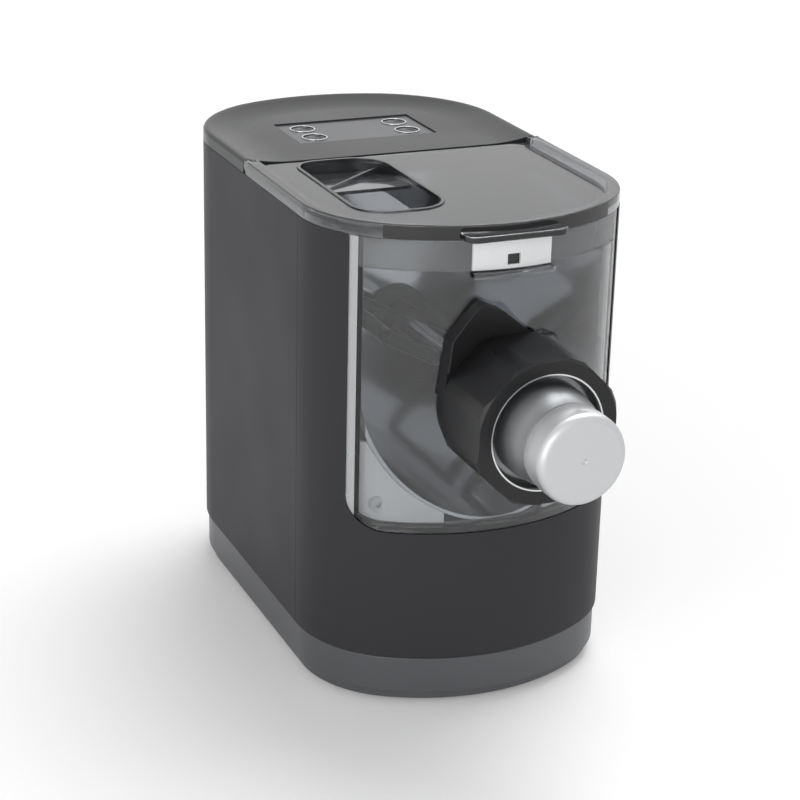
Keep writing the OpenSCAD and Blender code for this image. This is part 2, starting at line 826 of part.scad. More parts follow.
module auger() {
  color("#dcdddd") at_body() {
    translate([0, -124, nozzle_z]) rotate([90, 0, 0])
      linear_extrude(height = 62, twist = 620, slices = 44, $fn = 16) union() {
        circle(r = 7.5, $fn = 12);
        square([2 * auger_r, 4], center = true);
      }
    rod_y(10, -126, -122.2);
  }
}

module output_gear() {
  color("#d9d2b8") at_body() difference() {
    union() {
      gear(output_teeth, 12, 24, nozzle_z, -90);
      rod_y(14, 11.8, 27);
    }
    rod_y(shaft_r + run_gap, 5, 40);
    for (a = [0 : 60 : 300]) {
      rod_y(8, 0, 40, 26 * cos(a), nozzle_z + 26 * sin(a));
    }
  }
}

module idler_gears() {
  color("#c2a35a") at_body() {
    gear(pinion_teeth, 11.5, 26, idler_z, 90 + 180 / pinion_teeth);
    gear(idler_teeth, 28, 38, idler_z, -90);
    rod_y(8, 25.9, 28.1, 0, idler_z);
    rod_y(4, 6.6, 43.6, 0, idler_z);
  }
}

module gearbox_case() {
  color("#4a4b4d") at_body() difference() {
    box(-50, 50, 5.7, 41, nozzle_z - 119, nozzle_z + 51);
    box(-47, 47, 9, 42, nozzle_z - 116, nozzle_z + 48);
    rod_y(shaft_r + run_gap, 0, 20);
    rod_y(4 + run_gap, 5.9, 20, 0, idler_z);
  }
}

module gearbox_cover() {
  color("#4a4b4d") at_body() difference() {
    box(-50, 50, 41.1, 44, nozzle_z - 119, nozzle_z + 51);
    rod_y(shaft_r + run_gap, 30, 50);
    rod_y(4 + run_gap, 30, 50, 0, idler_z);
    rod_y(13, 30, 50, 0, motor_z);
  }
}

module motor_can() {
  color("#8e9093") at_body() difference() {
    rod_y(motor_r, motor_y0, motor_y1, 0, motor_z);
    rod_y(motor_r - 2, motor_y0 + 3, motor_y1 - 3, 0, motor_z);
    rod_y(4 + run_gap, motor_y0 - 5, motor_y1 + 5, 0, motor_z);
    for (a = [30 : 60 : 330]) {
      rod_y(5, motor_y1 - 5, motor_y1 + 5, 20 * cos(a), motor_z + 20 * sin(a));
    }
  }
}

module motor_stator() {
  color("#6a3f26") at_body() difference() {
    rod_y(motor_r - 2.1, motor_y0 + 10, motor_y1 - 12, 0, motor_z);
    rod_y(21, motor_y0, motor_y1, 0, motor_z);
  }
}

module motor_rotor() {
  color("#9a6b3e") at_body() {
    rod_y(20, motor_y0 + 10, motor_y1 - 12, 0, motor_z);
    rod_y(4, 27, motor_y1 + 7, 0, motor_z);
    gear(pinion_teeth, 28.5, 37.5, motor_z, 90 + 180 / pinion_teeth);
  }
}

module motor_fan() {
  color("#2c2c2d") at_body() difference() {
    union() {
      rod_y(8, motor_y1 + 2, motor_y1 + 6.5, 0, motor_z);
      rod_y(27, motor_y1 + 2, motor_y1 + 3.5, 0, motor_z);
      for (a = [0 : 45 : 315]) {
        translate([0, 0, motor_z]) rotate([0, a, 0])
          box(6, 26, motor_y1 + 3, motor_y1 + 6.5, -0.8, 0.8);
      }
    }
    rod_y(4 + run_gap, motor_y1, motor_y1 + 20, 0, motor_z);
  }
}

module power_board() {
  color("#2c5a3c") at_body() difference() {
    box(board_x, board_x + 40, 30, 100, 24, 25.6);
    for (x = [board_x + 4, board_x + 36]) {
      for (y = [34, 96]) {
        translate([x, y, 20]) cylinder(r = 1.6, h = 10);
      }
    }
  }
}

module board_parts() {
  color("#3d3e40") at_body() {
    box(board_x + 5, board_x + 30, 46, 64, 25.6, 48);
    translate([board_x + 12, 76, 25.6]) cylinder(r = 7, h = 24);
    translate([board_x + 28, 76, 25.6]) cylinder(r = 7, h = 24);
    box(board_x + 9, board_x + 22, 85, 92, 25.6, 36);
    for (x = [board_x + 4, board_x + 36]) {
      for (y = [34, 96]) {
        translate([x, y, plate_z]) cylinder(r = 3.4, h = 18 - eps);
      }
    }
  }
}

module power_inlet() {
  color("#1b1b1c") at_body() difference() {
    union() {
      box(-20, 20, rear_y - 5.6, rear_y - 2.4, 46, 74);
      box(-14, 14, rear_y - 30, rear_y - 5, 50, 70);
    }
    box(-12, 12, rear_y - 22, rear_y + 4, 52, 68);
    for (x = [-6.5, 0, 6.5]) {
      box(x - 1.2, x + 1.2, rear_y - 36, rear_y - 16, x == 0 ? 60.6 : 56.4, x == 0 ? 65.4 : 61.2);
    }
  }
}

module inlet_pins() {
  color("#cfc9a8") at_body() for (x = [-6.5, 0, 6.5]) {
    box(x - 1.1, x + 1.1, rear_y - 30.5, rear_y - 8, x == 0 ? 60.8 : 56.6, x == 0 ? 65.2 : 61);
  }
}

// The switch stands behind the bulkhead, and the closed lid's hinge side presses its stem.
module lid_switch() {
  color("#26282c") at_body() {
    box(54, 70, 5.9, 16, tub_top - 16, tub_top - 4);
    box(60, 64, 9, 13, tub_top - 4 - eps, tub_top + 1);
  }
}

rear_shell();
front_shell();
base_band();
chassis();
feet();
base_screws();
top_cover();
control_panel();
button_rings();
control_board();
hinge_pins();
lid();
pour_funnel();
front_panel();
latch_plate();
latch_catch();
barrel();
collar();
lock_nut();
shaping_die();
nut_ring();
die_cap();
mixing_tub();
tub_corners();
bulkhead();
shaft_seal();
drive_shaft();
mixing_paddle();
auger();
output_gear();
gearbox_case();
gearbox_cover();
idler_gears();
motor_can();
motor_stator();
motor_rotor();
motor_fan();
power_board();
board_parts();
power_inlet();
inlet_pins();
lid_switch();
button_1();
button_2();
button_3();
button_4();
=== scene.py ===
import math

import bmesh
import bpy
from bpy.props import FloatProperty, FloatVectorProperty, IntProperty, PointerProperty
from mathutils import Matrix, Vector


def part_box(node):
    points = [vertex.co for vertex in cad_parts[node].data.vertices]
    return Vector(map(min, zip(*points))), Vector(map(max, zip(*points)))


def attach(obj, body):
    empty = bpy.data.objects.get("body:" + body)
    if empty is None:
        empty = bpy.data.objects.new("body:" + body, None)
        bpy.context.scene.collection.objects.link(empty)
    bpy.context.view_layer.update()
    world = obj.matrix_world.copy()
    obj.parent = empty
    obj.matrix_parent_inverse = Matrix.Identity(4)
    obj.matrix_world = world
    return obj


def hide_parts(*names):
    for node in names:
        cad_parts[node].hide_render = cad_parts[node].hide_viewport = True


bl_info = {
    "name": "Electric pasta maker",
    "version": (1, 0, 0),
    "blender": (4, 5, 0),
    "location": "3D View > Sidebar > Pasta maker",
    "description": "Dresses the packed pasta maker with its finished surfaces and a studio",
    "category": "Object",
}

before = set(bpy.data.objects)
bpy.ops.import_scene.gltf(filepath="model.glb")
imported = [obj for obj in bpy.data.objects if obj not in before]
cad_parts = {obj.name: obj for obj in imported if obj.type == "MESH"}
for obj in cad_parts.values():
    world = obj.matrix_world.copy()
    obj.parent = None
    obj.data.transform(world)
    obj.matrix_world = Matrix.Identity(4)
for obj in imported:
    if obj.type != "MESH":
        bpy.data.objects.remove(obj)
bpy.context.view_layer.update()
MM = 0.001
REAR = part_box("rear_shell")
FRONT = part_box("front_shell")
BODY_WIDTH = (REAR[1].x - REAR[0].x) / MM
BODY_LENGTH = (REAR[1].y - FRONT[0].y) / MM
# The body's middle in the shared frame. Pieces are drawn in millimetres about it.
BODY_MIDDLE = REAR[1].y - BODY_LENGTH / 2 * MM
PLACE = Matrix.Translation((0, BODY_MIDDLE, 0)) @ Matrix.Scale(MM, 4)
FRONT_Y = -BODY_LENGTH / 2
REAR_Y = BODY_LENGTH / 2
# Where cutters start and end along Y, clear of every piece that they cut.
AHEAD = -300.0
BEHIND = 300.0


# ---------------- colours and sizes

def srgb(code):
    """Turns an sRGB hex value into the linear colour that a shader takes."""
    parts = [int(code[i:i + 2], 16) / 255 for i in (1, 3, 5)]
    linear = [c / 12.92 if c <= 0.04045 else ((c + 0.055) / 1.055) ** 2.4 for c in parts]
    return (*linear, 1.0)


def length(name, text, value):
    """A size in millimetres for the sidebar."""
    return FloatProperty(name=name, description=text, default=value, min=0.0)


def colour(name, text, code):
    """A colour for the sidebar, given as sRGB hex."""
    return FloatVectorProperty(name=name, description=text, subtype="COLOR", size=4,
                               min=0.0, max=1.0, default=srgb(code))


class PastaBodySizes(bpy.types.PropertyGroup):
    """Sizes of the shells, the base and the top cover, in millimetres."""
    front_radius: length("Front radius", "Radius of the bowed front", 119.0)
    front_corner: length("Front corner", "Radius between front and sides", 65.0)
    rear_radius: length("Rear radius", "Radius of the bowed rear", 129.4)
    rear_corner: length("Rear corner", "Radius between rear and sides", 76.8)
    wall: length("Wall", "Thickness of the moulded shells", 3.0)
    seam_back: length("Seam", "Distance of the shell seam behind the front", 75.6)
    shell_bottom: length("Shell bottom", "Height of the shells' lower edge", 31.0)
    wall_top: length("Wall top", "Height of the shells' upper edge", 276.6)
    band_top: length("Band top", "Height of the base band", 30.0)
    band_inset: length("Band inset", "How far the band stands in", 1.5)
    foot: length("Foot", "Height of the feet", 3.0)
    top_round: length("Top round", "Radius of the cover's upper edge", 2.2)
    dish: length("Dish", "Height of the cover's dished middle", 281.5)
    cover_top: length("Cover top", "Height of the cover's upper edge", 284.6)
    joint_y: length("Joint", "Position of the joint between lid and cover", 12.0)
    vent_bottom: length("Vent bottom", "Height of the rear vents' lower ends", 93.0)
    vent_height: length("Vent height", "Height of a rear vent", 40.0)
    vent_width: length("Vent width", "Width of a rear vent", 3.0)
    vent_pitch: length("Vent pitch", "Distance from one rear vent to the next", 7.0)
    inlet_height: length("Inlet height", "Height of the mains inlet's middle", 60.0)
    panel_half: length("Panel half", "Half the width of the control panel", 44.5)
    panel_front: length("Panel front", "Front edge of the control panel", 48.5)
    panel_rear: length("Panel rear", "Rear edge of the control panel", 97.0)
    button_x: length("Button place", "Distance of the buttons from the middle", 30.5)
    button_radius: length("Button radius", "Radius of a push button", 6.6)


class PastaLidSizes(bpy.types.PropertyGroup):
    """Sizes of the lid, the pour funnel and the clear front, in millimetres."""
    top: length("Top", "Height of the closed lid", 285.0)
    bottom: length("Bottom", "Height of the lid's lower edge", 276.9)
    rim: length("Rim", "Width of the raised rim", 7.5)
    plate: length("Plate", "Height of the recessed plate", 281.4)
    plate_thick: length("Plate thickness", "Thickness of the recessed plate", 2.2)
    hinge_radius: length("Hinge edge", "Radius of the round hinge edge", 3.1)
    window_width: length("Window", "Width of the clear front's opening", 161.0)
    window_bottom: length("Window bottom", "Height of the opening's lower edge", 107.5)
    window_corner: length("Window corner", "Radius of its lower corners", 18.0)
    step: length("Step", "Height of the step line on the clear front", 260.0)
    panel_top: length("Panel top", "Height of the clear front's upper edge", 276.1)
    latch: length("Latch height", "Height of the latch slot's middle", 265.2)
    pour_left: length("Pour left", "Pour opening's left side, from the middle", 67.0)
    pour_right: length("Pour right", "Its right side, left of the middle too", 11.8)
    pour_front: length("Pour front", "Its front end, ahead of the middle", 104.4)
    pour_rear: length("Pour rear", "Its rear end, behind the middle", 8.0)


class PastaNozzleSizes(bpy.types.PropertyGroup):
    """Sizes of the nozzle and its lock nut, in millimetres."""
    height: length("Axis height", "Height of the nozzle's axis", 184.0)
    flats: length("Across flats", "Width of the lock nut across its flats", 80.0)
    corner: length("Corner facet", "How far along a flat a corner facet begins", 4.3)
    nut_reach: length("Nut reach", "Distance of the nut's face from the body's front", 50.0)
    nut_length: length("Nut length", "Length of the nut", 46.0)
    recess: length("Recess", "Radius of the recess in the nut's face", 33.2)
    cap_reach: length("Cap reach", "Distance of the cap's end from the body's front", 90.5)
    cap_radius: length("Cap radius", "Radius of the cap", 25.2)
    waist: length("Waist", "Radius of the waist before the cap", 24.4)
    die_radius: length("Die radius", "Radius of the die at the nut", 27.6)
    round_steps: IntProperty(name="Round steps", description="Faces round a turned piece",
                             default=96, min=24)


class PastaFinishColours(bpy.types.PropertyGroup):
    """Colours of the surfaces."""
    shell: colour("Shell", "Soft-touch graphite shells", "#37373a")
    band: colour("Base band", "Metallic paint of the base band", "#56575a")
    cover: colour("Cover", "Satin graphite top cover", "#333436")
    panel: colour("Panel", "Control panel insert", "#4c4d50")
    rim: colour("Rim", "Light smoked acrylic of the lid's rim", "#a2a4a7")
    plate: colour("Plate", "Smoked acrylic of the lid's plate", "#8f9194")
    clear: colour("Clear", "Clear acrylic of the front", "#e4e6e8")
    latch: colour("Latch", "Pale latch plate", "#dcddde")
    nut: colour("Nut", "Black glass-filled nylon", "#161618")
    die: colour("Die", "Satin aluminium of the die", "#949698")
    cap: colour("Cap", "Satin aluminium of the cap", "#c6c7c9")
    tub: colour("Tub", "Polished steel of the tub", "#a6a8ab")
    floor: colour("Floor", "Studio floor", "#f4f4f4")


# ---------------- shaping helpers

def trace(bm, start, moves, axis=(0, 0, 1)):
    """Draws a wire from start. A move is a point, or a centre with a sweep in degrees and steps."""
    first = tip = bm.verts.new(start)
    for move in moves:
        if isinstance(move[0], tuple):
            centre, sweep, steps = move
            swept = bmesh.ops.spin(bm, geom=[tip], cent=centre, axis=axis, angle=math.radians(sweep),
                                   steps=steps, use_duplicate=False)
            tip = next(g for g in swept["geom_last"] if isinstance(g, bmesh.types.BMVert))
        else:
            tip = bmesh.ops.extrude_vert_indiv(bm, verts=[tip])["verts"][0]
            tip.co = move
    return first, tip


def extruded(bm, faces, along):
    """Extrudes faces into a closed solid."""
    grown = bmesh.ops.extrude_face_region(bm, geom=faces)
    bmesh.ops.translate(bm, vec=along, verts=[g for g in grown["geom"] if isinstance(g, bmesh.types.BMVert)])
    bmesh.ops.recalc_face_normals(bm, faces=bm.faces)
    return bm


def swept_solid(start, moves, along, axis=(0, 0, 1)):
    """Closes a traced wire, fills it and extrudes it into a solid."""
    bm = bmesh.new()
    first, last = trace(bm, start, moves, axis)
    if (first.co - last.co).length > 1e-4:
        bm.edges.new((last, first))
    bmesh.ops.remove_doubles(bm, verts=bm.verts, dist=1e-4)
    return extruded(bm, bmesh.ops.contextual_create(bm, geom=bm.edges[:])["faces"], along)


def block(x0, x1, y0, y1, z0, z1):
    """A rectangular solid between two corners."""
    bm = bmesh.new()
    bmesh.ops.create_cube(bm, size=1.0)
    bmesh.ops.scale(bm, vec=(x1 - x0, y1 - y0, z1 - z0), verts=bm.verts)
    return placed(bm, ((x0 + x1) / 2, (y0 + y1) / 2, (z0 + z1) / 2))


def slab(y0, y1, z0=0.0, z1=400.0):
    """A cutter that is wider than the part, between two places along Y."""
    return block(-200, 200, y0, y1, z0, z1)


def placed(bm, offset=(0, 0, 0), turn=0.0, axis="X"):
    """Turns a mesh about the origin, in degrees, and moves it."""
    bmesh.ops.rotate(bm, cent=(0, 0, 0), matrix=Matrix.Rotation(math.radians(turn), 3, axis), verts=bm.verts)
    bmesh.ops.translate(bm, vec=offset, verts=bm.verts)
    return bm


def rod(centre, radius, depth, axis, steps):
    """A round bar that starts at centre and runs along +X or +Z."""
    bm = bmesh.new()
    bmesh.ops.create_cone(bm, cap_ends=True, segments=steps, radius1=radius, radius2=radius, depth=depth)
    placed(bm, (0, 0, depth / 2))
    return placed(bm, centre, 90 if axis == "X" else 0, "Y")


def bored(radius, y0, y1, end_radius=None):
    """A round bar, or a cone with another radius at its far end, about the nozzle's axis."""
    s = bpy.context.scene.pasta_nozzle
    far = radius if end_radius is None else end_radius
    bm = bmesh.new()
    bmesh.ops.create_cone(bm, cap_ends=True, segments=s.round_steps, radius1=far, radius2=radius,
                          depth=y1 - y0)
    return placed(bm, (0, (y0 + y1) / 2, s.height), 90)


def joined(*parts):
    """Puts several meshes into one."""
    whole = parts[0]
    for part in parts[1:]:
        mesh = bpy.data.meshes.new("joining")
        part.to_mesh(mesh)
        part.free()
        whole.from_mesh(mesh)
        bpy.data.meshes.remove(mesh)
    return whole


def as_object(bm, name):
    """Turns a mesh into an object in the scene and frees it."""
    mesh = bpy.data.meshes.new(name)
    bm.to_mesh(mesh)
    bm.free()
    made = bpy.data.objects.new(name, mesh)
    bpy.context.scene.collection.objects.link(made)
    return made


def carved(base, tool, operation="DIFFERENCE"):
    """Cuts, joins or intersects one closed mesh with another."""
    objects = [as_object(bm, "carving") for bm in (base, tool)]
    cut = objects[0].modifiers.new("cut", "BOOLEAN")
    cut.object = objects[1]
    cut.operation = operation
    cut.solver = "EXACT"
    result = bmesh.new()
    result.from_object(objects[0], bpy.context.evaluated_depsgraph_get())
    for made in objects:
        mesh = made.data
        bpy.data.objects.remove(made)
        bpy.data.meshes.remove(mesh)
    return result


def fused(base, other):
    """Joins two closed meshes into one."""
    return carved(base, other, "UNION")


def common(base, other):
    """Keeps what two closed meshes share."""
    return carved(base, other, "INTERSECT")


def round_edges(bm, width, segments=3, where=None, angle=35.0):
    """Bevels the edges that are sharper than angle and for which where is true."""
    bm.edges.ensure_lookup_table()
    picked = [e for e in bm.edges if len(e.link_faces) == 2
              and e.calc_face_angle(0.0) > math.radians(angle) and (where is None or where(e))]
    bmesh.ops.bevel(bm, geom=picked, offset=width, segments=segments, profile=0.5, affect="EDGES",
                    clamp_overlap=True, material=-1)
    return bm


def finish_piece(bm, name, body, finishes, replaces=(), crease=34.0, bevel=0.0, pick=None):
    """Turns a mesh in body millimetres into a piece of the model that rides on a body."""
    if pick:
        for face in bm.faces:
            face.material_index = pick(face)
    bmesh.ops.transform(bm, matrix=PLACE, verts=bm.verts)
    bmesh.ops.remove_doubles(bm, verts=bm.verts, dist=2e-6)
    bmesh.ops.recalc_face_normals(bm, faces=bm.faces)
    for face in bm.faces:
        face.smooth = True
    for edge in bm.edges:
        edge.smooth = not (len(edge.link_faces) == 2 and edge.calc_face_angle(0.0) > math.radians(crease))
    piece = as_object(bm, name)
    for finish in finishes:
        piece.data.materials.append(FINISHES[finish])
    if bevel:
        soften = piece.modifiers.new("Softened edges", "BEVEL")
        soften.width = bevel * MM
        soften.segments = 2
        soften.limit_method = "ANGLE"
        soften.angle_limit = math.radians(35)
    level = piece.modifiers.new("Even shading", "WEIGHTED_NORMAL")
    level.keep_sharp = True
    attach(piece, body)
    if replaces:
        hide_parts(*replaces)
    return piece


# ---------------- the body's plan

def plan_solid(inset, z0, z1):
    """The body's outline, stepped in by inset, as a solid between two heights."""
    s = bpy.context.scene.pasta_body
    half = BODY_WIDTH / 2
    side = half - inset
    front_x, rear_x = half - s.front_corner, half - s.rear_corner
    front_middle, rear_middle = FRONT_Y + s.front_radius, REAR_Y - s.rear_radius
    front_reach = math.sqrt((s.front_radius - s.front_corner) ** 2 - front_x ** 2)
    rear_reach = math.sqrt((s.rear_radius - s.rear_corner) ** 2 - rear_x ** 2)
    front_y, rear_y = front_middle - front_reach, rear_middle + rear_reach
    front_turn = math.degrees(math.atan2(front_reach, front_x))
    rear_turn = math.degrees(math.atan2(rear_reach, rear_x))
    moves = [
        ((rear_x, rear_y, z0), rear_turn, 22),
        ((0, rear_middle, z0), 180 - 2 * rear_turn, 16),
        ((-rear_x, rear_y, z0), rear_turn, 22),
        (-side, front_y, z0),
        ((-front_x, front_y, z0), front_turn, 16),
        ((0, front_middle, z0), 180 - 2 * front_turn, 32),
        ((front_x, front_y, z0), front_turn, 16),
    ]
    return swept_solid((side, rear_y, z0), moves, (0, 0, z1 - z0))


def window_solid(grow, y0, y1):
    """The clear front's outline as a solid along Y, open at the top."""
    s = bpy.context.scene.pasta_lid
    w = s.window_width / 2 + grow
    r = s.window_corner + grow
    z = s.window_bottom - grow
    moves = [
        (-w, y0, z + r),
        ((r - w, y0, z + r), 90, 10),
        (w - r, y0, z),
        ((w - r, y0, z + r), 90, 10),
        (w, y0, 320),
    ]
    return swept_solid((-w, y0, 320), moves, (0, y1 - y0, 0), axis=(0, -1, 0))


def hollow(outer, inner, z0, z1):
    """A ring wall between two insets of the plan."""
    return carved(plan_solid(outer, z0, z1), plan_solid(inner, z0 - 5, z1 + 5))


def turned(start, *moves):
    """Turns a profile round the nozzle's axis. It goes by radius and place along Y, and may have arcs."""
    s = bpy.context.scene.pasta_nozzle
    bm = bmesh.new()
    trace(bm, (*start, s.height), [((*move[0], s.height), *move[1:]) if isinstance(move[0], tuple)
                                   else (*move, s.height) for move in moves])
    bmesh.ops.remove_doubles(bm, verts=bm.verts, dist=1e-5)
    bmesh.ops.spin(bm, geom=bm.verts[:] + bm.edges[:], cent=(0, 0, s.height), axis=(0, 1, 0),
                   angle=2 * math.pi, steps=s.round_steps, use_merge=True, use_duplicate=False)
    bmesh.ops.remove_doubles(bm, verts=bm.verts, dist=1e-4)
    bmesh.ops.recalc_face_normals(bm, faces=bm.faces)
    return bm


# ---------------- materials

def add(tree, kind, links=None, **settings):
    """Adds a node with its settings. A link is an input's name with a value or another node's output."""
    node = tree.nodes.new(kind)
    for name, value in settings.items():
        setattr(node, name, value)
    for name, value in (links or {}).items():
        if isinstance(value, bpy.types.NodeSocket):
            tree.links.new(value, node.inputs[name])
        else:
            node.inputs[name].default_value = value
    return node


def toned(tone, factor):
    """A colour made darker or lighter."""
    return (*(min(1.0, part * factor) for part in tone[:3]), 1.0)


def shader(name, settings):
    """A new material with a Principled shader on its output."""
    material = bpy.data.materials.new(name)
    material.use_nodes = True
    tree = material.node_tree
    tree.nodes.clear()
    base = add(tree, "ShaderNodeBsdfPrincipled", settings)
    add(tree, "ShaderNodeOutputMaterial", {"Surface": base.outputs[0]})
    return material, tree, base


def patterned(tree, base, pattern, tints, shine, relief=None, worn=None):
    """Lets a pattern vary a surface: two tints, roughness (worn may set that) and relief in micrometres."""
    if tints:
        tint = add(tree, "ShaderNodeMix", {"Factor": pattern, "A": tints[0], "B": tints[1]},
                   data_type="RGBA")
        tree.links.new(tint.outputs["Result"], base.inputs["Base Color"])
    dull = add(tree, "ShaderNodeMapRange", {"Value": worn or pattern, "From Min": 0.3, "From Max": 0.7,
                                            "To Min": shine[0], "To Max": shine[1]})
    tree.links.new(dull.outputs["Result"], base.inputs["Roughness"])
    if relief:
        bump = add(tree, "ShaderNodeBump", {"Height": pattern, "Distance": relief[0] * 1e-6,
                                            "Strength": relief[1]})
        tree.links.new(bump.outputs["Normal"], base.inputs["Normal"])


def speckled(tree, base, tone, grain_mm, spread, bump_um, rough, rough_spread):
    """Gives a moulded surface its fine grain, and wide faint patches that are duller."""
    where = add(tree, "ShaderNodeTexCoord").outputs["Object"]
    grain = add(tree, "ShaderNodeTexNoise", {"Vector": where, "Scale": 1 / (grain_mm * MM), "Detail": 3.0})
    cloud = add(tree, "ShaderNodeTexNoise", {"Vector": where, "Scale": 14.0, "Detail": 2.0})
    patterned(tree, base, grain.outputs["Fac"], (toned(tone, 1 - spread), toned(tone, 1 + spread)),
              (rough - rough_spread, rough + rough_spread), (bump_um, 0.6), cloud.outputs["Fac"])


def moulded_abs(name, tone, rough, grain_mm=0.9, spread=0.05, bump_um=25, gloss=0.5):
    """Moulded plastic with a spark-eroded grain: an even satin."""
    material, tree, base = shader(name, {"IOR": 1.53, "Specular IOR Level": gloss})
    speckled(tree, base, tone, grain_mm, spread, bump_um, rough, rough_spread=0.04)
    return material


def metallic_paint(name, tone):
    """Metallic lacquer: small bright flakes under a smooth coat."""
    material, tree, base = shader(name, {"Metallic": 0.4, "Coat Weight": 0.05, "Coat Roughness": 0.2})
    speckled(tree, base, tone, grain_mm=0.35, spread=0.12, bump_um=6, rough=0.42, rough_spread=0.03)
    return material


def lathe_turned(name, tone, rough, ring_mm=0.35):
    """Turned aluminium: rings round the nozzle's axis, drawn coarse enough to show, and a satin shine."""
    s = bpy.context.scene.pasta_nozzle
    material, tree, base = shader(name, {"Metallic": 1.0, "Anisotropic": 0.35})
    where = add(tree, "ShaderNodeTexCoord").outputs["Object"]
    centred = add(tree, "ShaderNodeMapping", {"Vector": where, "Location": (0, 0, -s.height * MM)})
    parts = add(tree, "ShaderNodeSeparateXYZ", {"Vector": centred.outputs["Vector"]})
    flat = add(tree, "ShaderNodeCombineXYZ", {"X": parts.outputs["X"], "Y": parts.outputs["Z"]})
    radius = add(tree, "ShaderNodeVectorMath", {"Vector": flat.outputs["Vector"]}, operation="LENGTH")
    depth = add(tree, "ShaderNodeMath", {0: parts.outputs["Y"], 1: radius.outputs["Value"]}, operation="ADD")
    rings = add(tree, "ShaderNodeTexNoise", {"W": depth.outputs["Value"], "Scale": 1 / (ring_mm * MM),
                                             "Detail": 2.0}, noise_dimensions="1D")
    patterned(tree, base, rings.outputs["Fac"], (toned(tone, 0.93), toned(tone, 1.05)),
              (rough - 0.04, rough + 0.05), (4, 0.5))
    return material


def brushed_steel(name, tone, rough, depth=1.0):
    """Metal brushed along Y: faint strokes, 1.1 mm apart and 50 mm long, coarse enough to show."""
    material, tree, base = shader(name, {"Metallic": 1.0})
    where = add(tree, "ShaderNodeTexCoord").outputs["Object"]
    drawn = add(tree, "ShaderNodeMapping", {"Vector": where, "Scale": (900.0, 20.0, 900.0)})
    lines = add(tree, "ShaderNodeTexNoise", {"Vector": drawn.outputs["Vector"], "Scale": 1.0, "Detail": 3.0})
    patterned(tree, base, lines.outputs["Fac"],
              (toned(tone, 1 - 0.12 * depth), toned(tone, 1 + 0.08 * depth)),
              (rough - 0.05 * depth, rough + 0.07 * depth))
    return material


def acrylic(name, tone, clear, rough, gloss=0.5):
    """Polished acrylic: clear or smoked, with a faint unevenness from moulding."""
    material, tree, base = shader(name, {"Base Color": tone, "Transmission Weight": clear, "IOR": 1.49,
                                         "Specular IOR Level": gloss})
    where = add(tree, "ShaderNodeTexCoord").outputs["Object"]
    wave = add(tree, "ShaderNodeTexNoise", {"Vector": where, "Scale": 30.0, "Detail": 1.0})
    patterned(tree, base, wave.outputs["Fac"], None, (rough * 0.6, rough * 1.5), (20, 0.3))
    return material


FINISHES = {}


